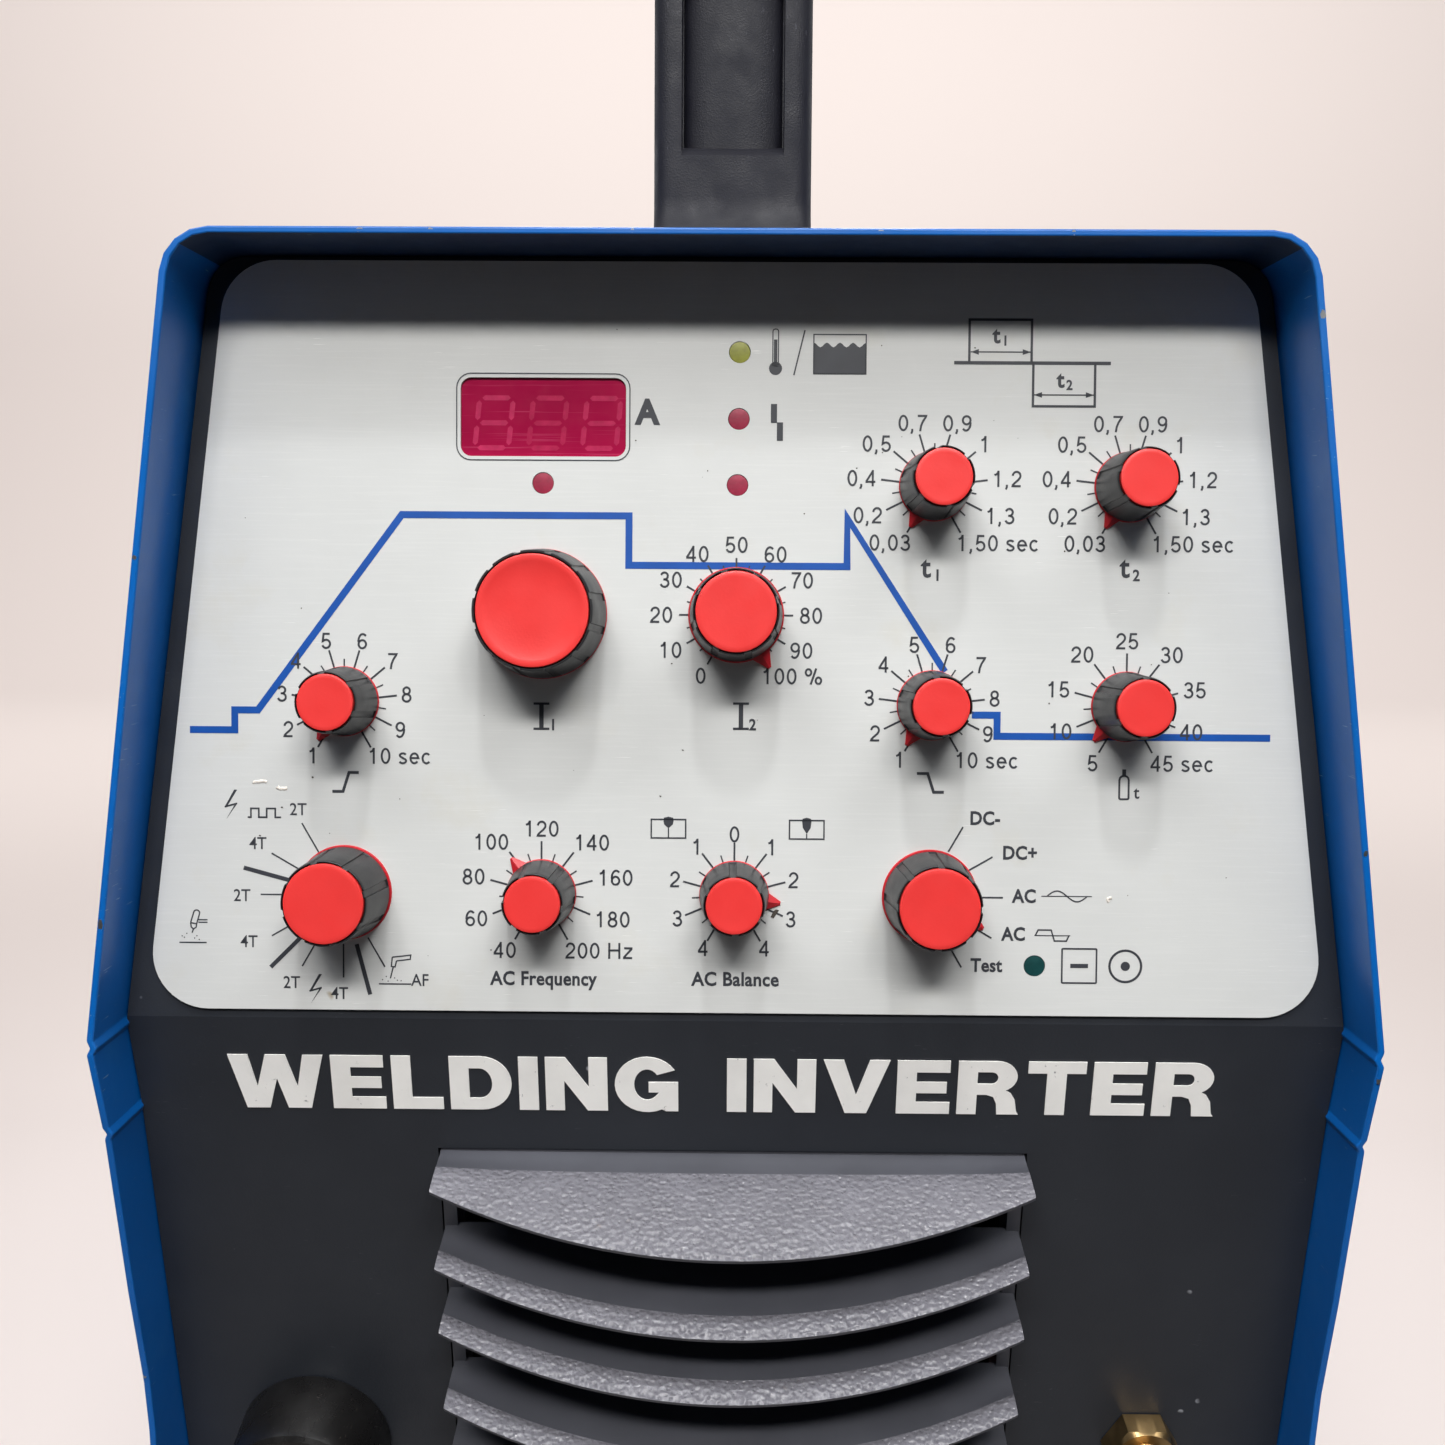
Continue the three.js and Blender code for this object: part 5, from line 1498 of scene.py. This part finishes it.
def pocket_core(name, face, way, bottom, top, ledge, crown):
    """The rounded rib that fills a pocket from wall to wall and runs into its ledge."""
    half = HANDLE["channel"] - 0.15
    arc_steps, levels = 21, 13
    verts, faces = [], []
    for i in range(levels):
        z = ledge - 2.6 + (crown - 1.2 - ledge + 2.6) * i / (levels - 1)
        floor = face + way * (4 * (z - bottom - 18) / (top - bottom - 18) + 6.4)
        for k in range(arc_steps):
            t = 2 * k / (arc_steps - 1) - 1
            bulge = 3.3 * max(0.0, 1 - abs(t) ** 2.4) ** 0.6
            verts.append((t * half, floor - way * bulge, z))
        verts.append((half, floor + way * 2.5, z))
        verts.append((-half, floor + way * 2.5, z))
    ring = arc_steps + 2
    for i in range(levels - 1):
        for k in range(ring):
            m = (k + 1) % ring
            faces.append((i * ring + k, i * ring + m, (i + 1) * ring + m, (i + 1) * ring + k))
    faces.append(tuple(range(ring)))
    faces.append(tuple(reversed(range((levels - 1) * ring, levels * ring))))
    at = MACHINE @ Matrix.Translation((HANDLE["x"] * MM, 0, 0))
    piece(name, from_lists(verts, faces), "grip", at=at, angle=50)


# ---------- rear ----------
FAN = {"x": 0, "z": 175, "bore": 57, "hub": 20, "half": 59.5, "depth": 38}
SWITCH = (-72, 290)
GLAND = (78, 62)
GAS_INLET = (78, 112)


def rear_at(x, z, out=0.0):
    """A place on the rear panel. The local axes are x, down, and out of the panel."""
    return REAR @ Matrix.Translation((x * MM, -z * MM, out * MM))


def fan_guard():
    """Four wire rings on four spokes, each spoke ending in an eye with a screw through it."""
    parts = []
    corner = 65.2
    eighths = [math.pi * k / 4 for k in (1, 3, 5, 7)]
    for radius in (16, 30, 44, 58):
        ring = [(x, y, 3.4) for x, y in ring_points(radius, 72)]
        parts.append(sweep(ring, 1.15, 8, closed=True))
    for a in eighths:
        c, s = math.cos(a), math.sin(a)
        line = [(15 * c, 15 * s, 1.5), (58 * c, 58 * s, 1.5), (62 * c, 62 * s, 1.4)]
        parts.append(sweep(densify(line, 6), 1.15, 8))
        eye = [(x, y, 1.4) for x, y in ring_points(3.4, 24, (corner * c, corner * s))]
        parts.append(sweep(eye, 1.1, 8, closed=True))
    piece("fan_guard_wires", from_lists(*joined(*parts)), "wire", at=rear_at(FAN["x"], FAN["z"]),
          replaces=["fan_guard"], angle=60)
    screws = [moved(screw(3), Matrix.Translation((corner * math.cos(a), corner * math.sin(a), 2.5)))
              for a in eighths]
    piece("fan_guard_screws", from_lists(*joined(*screws)), "steel", at=rear_at(FAN["x"], FAN["z"]),
          angle=40)


def fan_rotor():
    """Hub and seven curved, twisted blades, turning in the frame behind the guard."""
    parts = [lathe([(0, -30.5), (19.2, -30.5), (20, -29.7), (20, -6.4), (19.4, -5.6), (17.5, -5.3),
                    (0, -5.3)], 60)]
    blade_count, spans, chords = 7, 9, 7
    for b in range(blade_count):
        turn = 2 * math.pi * b / blade_count
        top, bottom = [], []
        for i in range(spans):
            r = 18.5 + (54 - 18.5) * i / (spans - 1)
            pitch = math.radians(52 - 14 * i / (spans - 1))
            chord = 22 + 6 * i / (spans - 1)
            for k in range(chords):
                s = (k / (chords - 1) - 0.5) * chord
                camber = 1.8 * (1 - (2 * k / (chords - 1) - 1) ** 2)
                along = s * math.cos(pitch) - camber * math.sin(pitch)
                height = s * math.sin(pitch) + camber * math.cos(pitch) - 18
                a = turn + along / r + 0.1 * (i / (spans - 1))
                for thick, store in ((0.7, top), (-0.7, bottom)):
                    store.append((r * math.cos(a) + thick * math.sin(a) * math.sin(pitch),
                                  r * math.sin(a) - thick * math.cos(a) * math.sin(pitch),
                                  height + thick * math.cos(pitch)))
        verts = top + bottom
        faces = []
        offset = len(top)
        for i in range(spans - 1):
            for k in range(chords - 1):
                a0 = i * chords + k
                faces.append((a0, a0 + 1, a0 + chords + 1, a0 + chords))
                faces.append((offset + a0, offset + a0 + chords, offset + a0 + chords + 1, offset + a0 + 1))
        rim_loop = list(range(chords))
        rim_loop += [i * chords + chords - 1 for i in range(1, spans)]
        rim_loop += [(spans - 1) * chords + k for k in range(chords - 2, -1, -1)]
        rim_loop += [i * chords for i in range(spans - 2, 0, -1)]
        for i, a0 in enumerate(rim_loop):
            b0 = rim_loop[(i + 1) % len(rim_loop)]
            faces.append((a0, a0 + offset, b0 + offset, b0))
        parts.append((verts, faces))
    piece("fan_rotor_blades", from_lists(*joined(*parts)), "black", "fan",
          rear_at(FAN["x"], FAN["z"], -2.3), ["fan_rotor"], angle=40)


def main_switch():
    """A bezel with two marked positions, the block behind it and a red handle."""
    at = rear_at(*SWITCH)
    plate = prism(rounded([(-24, -24, 3), (24, -24, 3), (24, 24, 3), (-24, 24, 3)], 5), 0.3, 3, 0.5)
    neck = lathe([(4.6, -42), (20, -42), (20, -2.3), (11.8, -2.3), (11.8, 0.4), (4.6, 0.4)], 40)
    piece("switch_bezel", from_lists(*plate), "black", at=at,
          replaces=["main_switch_body"], bevel=0.4)
    piece("switch_block", from_lists(*neck), "black", at=at, angle=30)
    marks = Print(3.0)
    marks.text("0", (0, 20.9), 3.2, heavy=0.01)
    marks.text("1", (-21.2, 0), 3.2, heavy=0.01)
    # the rear frame's second axis points down, so the marks are mirrored to read upright
    mirrored = [(x, -y, z) for x, y, z in marks.verts], [tuple(reversed(f)) for f in marks.faces]
    piece("switch_marks", from_lists(*mirrored), "ink_white", at=at, angle=30)
    disc = lathe([(0, 3.3), (18.2, 3.3), (19, 4), (18.8, 7.6), (17.6, 9.2), (0, 9.6)], 72)
    grip_outline = rounded([(-5, -18, 3.2), (5, -18, 3.2), (4.2, 0, 8), (5, 18, 3.2), (-5, 18, 3.2),
                            (-4.2, 0, 8)], 5)
    grip = prism(grip_outline, 7, 23.9, 0.9)
    spindle = lathe([(0, -18), (4, -18), (4, 4), (0, 4)], 24)
    piece("switch_handle", from_lists(*joined(disc, grip, spindle)), "pointer", "main_switch", at,
          ["main_switch_knob"], bevel=0.5)
    tick = box((-0.7, 0.7), (-17.2, -9), (23.85, 24.0))
    piece("switch_handle_line", from_lists(*tick), "ink_white", "main_switch", at, bevel=0.05)


def rear_fittings():
    """Cable gland, gas inlet, a blank data plate and the panel's screws."""
    at = rear_at(*GLAND)
    ridges = [(7, -14), (9.7, -14), (10, -13.6), (10, 0.3)]
    base = hexagon(15.6, 0.3, 7.5, 0.3, 1.0)
    cap_profile = [(7.05, 7.4), (13.4, 7.4), (13.6, 8.4), (13.2, 16), (11.5, 20), (9.4, 23.4), (8.6, 24),
                   (7.4, 24), (7.05, 23.6)]

    def grip_waves(a, radius, z):
        return radius - (0.45 if math.sin(a * 14) > 0.2 and 8 < z < 19 and radius > 9 else 0)

    sleeve = lathe(ridges + [(10, 0.4), (7, 0.4)], 48)
    bushing = lathe([(5.2, 4), (7.1, 4), (7.1, 23.2), (5.8, 23.2), (5.2, 22.4)], 40)
    piece("gland_body", from_lists(*joined(base, sleeve, lathe(cap_profile, 112, grip_waves))), "black",
          at=at, replaces=["cable_gland"], angle=30)
    piece("gland_bushing", from_lists(*bushing), "rubber", at=at, angle=30)
    at = rear_at(*GAS_INLET)
    barb = [(1.9, -15), (5.6, -15), (6, -14.6), (6, 0.5), (3.9, 6), (3.6, 6.4), (3.6, 8.4), (4.5, 8.6),
            (3.7, 12), (3.6, 12.2), (3.6, 13.6), (4.5, 13.8), (3.7, 17.4), (3.5, 18.6), (4.2, 18.8),
            (3.1, 20.9), (2.2, 21), (1.9, 20.6)]
    piece("gas_inlet_barb", from_lists(*joined(lathe(barb, 48), hexagon(9.2, 0.3, 6, 0.1, 0.8))), "brass",
          at=at, replaces=["gas_inlet"], angle=28)
    plate = prism(rounded([(-38, -16, 2), (38, -16, 2), (38, 16, 2), (-38, 16, 2)], 4), 0.05, 0.6)
    piece("data_plate", from_lists(*plate), "aluminium", at=rear_at(60, 300), bevel=0.1)
    lines = Print(0.6)
    for row in range(4):
        y = -10 + row * 6.6
        lines.line([(-34, y), (34, y)], 0.3)
    for column in (-34, -10, 12, 34):
        lines.line([(column, -10), (column, 9.8)], 0.3)
    lines.make("data_plate_lines", "ink", rear_at(60, 300))
    rivets = [moved(screw(2.2), Matrix.Translation((x, y, 0.2))) for x in (-118, 118) for y in (-30, -185)]
    rivets += [moved(screw(2.2), Matrix.Translation((x, -345, 0.2))) for x in (-100, 100)]
    piece("rear_screws", from_lists(*joined(*rivets)), "steel", at=REAR, angle=40)


def feet():
    """Four turned rubber feet, each held by a screw from below."""
    for side, x in (("left", -100), ("right", 100)):
        for end, y in (("front", 62), ("rear", 450)):
            profile = [(0, 3), (4.2, 3), (4.6, 0.6), (5.4, 0.1), (13.4, 0), (14.4, 0.5), (14.9, 1.4),
                       (15.3, 4), (15.1, 4.4), (15.5, 4.9), (16.3, 12.4), (16, 13.4), (15.4, 13.7), (0, 13.7)]
            at = MACHINE @ Matrix.Translation((x * MM, y * MM, 0))
            name = f"foot_{end}_{side}"
            piece(name + "_pad", from_lists(*lathe(profile, 56)), "rubber", at=at,
                  replaces=[name], angle=40)
            head = moved(screw(3), Matrix.Translation((0, 0, 2.9)) @ Matrix.Rotation(math.pi, 4, "X"))
            piece(name + "_screw", from_lists(*head), "steel", at=at, angle=40)


def front_fixings():
    parts = [moved(screw(2.6), Matrix.Translation((x, -150, 0.25))) for x in (-121, 121)]
    piece("panel_screws", from_lists(*joined(*parts)), "steel", at=LOWER, angle=40)


# CAD nodes whose shape is right stay, with a procedural finish.
KEPT = {
    "base_tray": "sheet", "front_panel": "panel", "rear_panel": "sheet",
    "display_module": "black", "control_board": "board", "fan_frame": "black",
    "gas_valve": "steel", "power_board": "board", "heat_sink": "aluminium",
    "main_transformer": "core", "output_choke": "copper", "ignition_unit": "black",
}


def dress_frame():
    """Gives each CAD node that stays its finish."""
    for node, key in KEPT.items():
        obj = NODES[node]
        obj.data.materials.clear()
        obj.data.materials.append(MATS[key])


# ---------- stage, light and camera ----------
CAMERA = {"x": -0.15, "y": -292.7, "z": 100.24, "pitch": 7.22, "yaw": 0.5, "roll": 0.35, "focal": 1400,
          "image": 1445, "sensor": 36}


def stage_material():
    """A pale matt surface that is seen bright and even, and throws only a little light back."""
    surface = Shader("pale_stage", tone(136, 130, 127), 0.95)
    surface.mottle(400, 0.02)
    tree = surface.mat.node_tree
    seen = tree.nodes.new("ShaderNodeBsdfDiffuse")
    seen.inputs["Color"].default_value = (0.36, 0.335, 0.32, 1)
    glow = tree.nodes.new("ShaderNodeEmission")
    glow.inputs["Color"].default_value = (0.44, 0.38, 0.36, 1)
    both = tree.nodes.new("ShaderNodeAddShader")
    tree.links.new(seen.outputs[0], both.inputs[0])
    tree.links.new(glow.outputs[0], both.inputs[1])
    choice = tree.nodes.new("ShaderNodeMixShader")
    tree.links.new(tree.nodes.new("ShaderNodeLightPath").outputs["Is Camera Ray"], choice.inputs[0])
    tree.links.new(surface.bsdf.outputs[0], choice.inputs[1])
    tree.links.new(both.outputs[0], choice.inputs[2])
    output = next(node for node in tree.nodes if node.type == "OUTPUT_MATERIAL")
    tree.links.new(choice.outputs[0], output.inputs["Surface"])
    return surface.mat


def stage_mesh():
    """A pale floor that curves up into a wall."""
    half, front, bend_start, bend, wall_top = 7, -6, 2.2, 0.8, 5.0
    turns = [math.pi / 2 * k / 12 for k in range(13)]
    rows = [(front, 0)]
    rows += [(bend_start + bend * math.sin(a), bend - bend * math.cos(a)) for a in turns]
    rows.append((bend_start + bend, wall_top))
    verts = [(x, y, z) for y, z in rows for x in (-half, half)]
    faces = [(2 * i, 2 * i + 1, 2 * i + 3, 2 * i + 2) for i in range(len(rows) - 1)]
    mesh = bpy.data.meshes.new("stage_floor")
    mesh.from_pydata(verts, [], faces)
    mesh.polygons.foreach_set("use_smooth", [True] * len(faces))
    mesh.materials.append(stage_material())
    floor = bpy.data.objects.new("stage_floor", mesh)
    bpy.context.scene.collection.objects.link(floor)


def aim_lamp(lamp, elevation, azimuth, distance, target):
    """Stands a lamp at an elevation above the horizon and an azimuth to the right of straight ahead."""
    obj = bpy.data.objects.new(lamp.name, lamp)
    e, a = math.radians(elevation), math.radians(azimuth)
    way = Vector((math.sin(a) * math.cos(e), -math.cos(a) * math.cos(e), math.sin(e)))
    obj.location = Vector(target) + way * distance
    obj.rotation_mode = "QUATERNION"
    obj.rotation_quaternion = (-way).to_track_quat("-Z", "Y")
    bpy.context.scene.collection.objects.link(obj)


def area_light(name, watts, elevation, azimuth, distance, size, color, target):
    """A flat lamp for the surroundings."""
    lamp = bpy.data.lights.new(name, "AREA")
    lamp.shape = "RECTANGLE"
    lamp.size, lamp.size_y = size
    lamp.energy = watts
    lamp.color = color
    aim_lamp(lamp, elevation, azimuth, distance, target)


def spot_light(name, watts, elevation, azimuth, distance, radius, cone, color, target):
    """A soft round lamp whose cone covers the machine and little of the floor in front of it."""
    lamp = bpy.data.lights.new(name, "SPOT")
    lamp.energy = watts
    lamp.color = color
    lamp.shadow_soft_size = radius
    lamp.spot_size = math.radians(cone)
    lamp.spot_blend = 0.25
    aim_lamp(lamp, elevation, azimuth, distance, target)


COOL, NEUTRAL, KEY_TINT, WARM = (0.97, 0.985, 1), (1, 1, 1), (1, 0.985, 0.965), (1, 0.97, 0.955)


def lights():
    """A wide key and a strip above the front, softs all round, and two washes for the surroundings."""
    front = (0, -0.2, 0.26)
    for i, azimuth in enumerate((-20, -10, 0, 10, 20)):
        spot_light(f"key_panel_{i}", 17.2, 42, azimuth, 1.6, 0.11, 22, KEY_TINT, (0, -0.24, 0.25))
    spot_light("ceiling_strip", 33, 66, 0, 1.7, 0.07, 24, COOL, front)
    for i, azimuth in enumerate((-62, -34, 34, 62)):
        spot_light(f"ceiling_soft_{i}", 22, 54, azimuth, 1.6, 0.35, 24, COOL, front)
    spot_light("left_soft", 44, 14, -112, 1.9, 0.35, 30, (0.95, 0.97, 1), (0, 0, 0.27))
    spot_light("right_soft", 44, 14, 112, 1.9, 0.35, 30, NEUTRAL, (0, 0, 0.27))
    spot_light("rear_soft", 70, 40, 180, 1.9, 0.35, 32, NEUTRAL, (0, 0, 0.2))
    area_light("wall_wash", 100, 34, 0, 2.6, (3.6, 1.0), WARM, (0, 3.0, 0.8))
    area_light("floor_wash", 14, 85, 0, 1.9, (3.6, 1.0), WARM, (0, 1.9, 0))
    world = bpy.data.worlds.new("studio")
    world.use_nodes = True
    nodes, links = world.node_tree.nodes, world.node_tree.links
    dim = nodes["Background"]
    dim.inputs["Color"].default_value = (0.78, 0.86, 1, 1)
    dim.inputs["Strength"].default_value = 0.05
    # beyond the floor a pale backdrop is seen, which lights nothing
    pale = nodes.new("ShaderNodeBackground")
    pale.inputs["Color"].default_value = (0.54, 0.475, 0.45, 1)
    choice = nodes.new("ShaderNodeMixShader")
    links.new(nodes.new("ShaderNodeLightPath").outputs["Is Camera Ray"], choice.inputs[0])
    links.new(dim.outputs[0], choice.inputs[1])
    links.new(pale.outputs[0], choice.inputs[2])
    links.new(choice.outputs[0], nodes["World Output"].inputs["Surface"])
    bpy.context.scene.world = world


def camera():
    """Stands close in front of the foil and looks slightly down on it."""
    pitch, yaw, roll = (math.radians(CAMERA[k]) for k in ("pitch", "yaw", "roll"))
    ahead = Vector((-math.sin(yaw) * math.cos(pitch), math.cos(yaw) * math.cos(pitch), -math.sin(pitch)))
    right = Vector((math.cos(yaw), math.sin(yaw), 0))
    up = right.cross(ahead)
    right, up = (math.cos(roll) * right + math.sin(roll) * up, math.cos(roll) * up - math.sin(roll) * right)
    data = bpy.data.cameras.new("view_camera")
    data.lens = CAMERA["sensor"] * CAMERA["focal"] / CAMERA["image"]
    data.sensor_width = CAMERA["sensor"]
    data.clip_start = 0.02
    obj = bpy.data.objects.new("view_camera", data)
    turn = Matrix((right, up, -ahead)).transposed().to_4x4()
    place = Vector((CAMERA["x"], CAMERA["y"] + MACHINE_Y, CAMERA["z"] + FOIL_FOOT_Z)) * MM
    obj.matrix_world = Matrix.Translation(place) @ turn
    bpy.context.scene.collection.objects.link(obj)
    bpy.context.scene.camera = obj


housing_cover()
paint_chips()
cover_screws()
control_foil()
display()
lamps()
foil_prints()
name_band()
for knob_name, knob_facts in KNOBS.items():
    knob(knob_name, *knob_facts)
vanes()
grille_frame()
for socket_name, socket_place in SOCKETS.items():
    current_socket(socket_name, *socket_place)
gas_outlet()
control_socket()
handle()
fan_guard()
fan_rotor()
main_switch()
rear_fittings()
feet()
front_fixings()
dress_frame()
stage_mesh()
lights()
camera()
bpy.context.scene.view_settings.view_transform = "Standard"
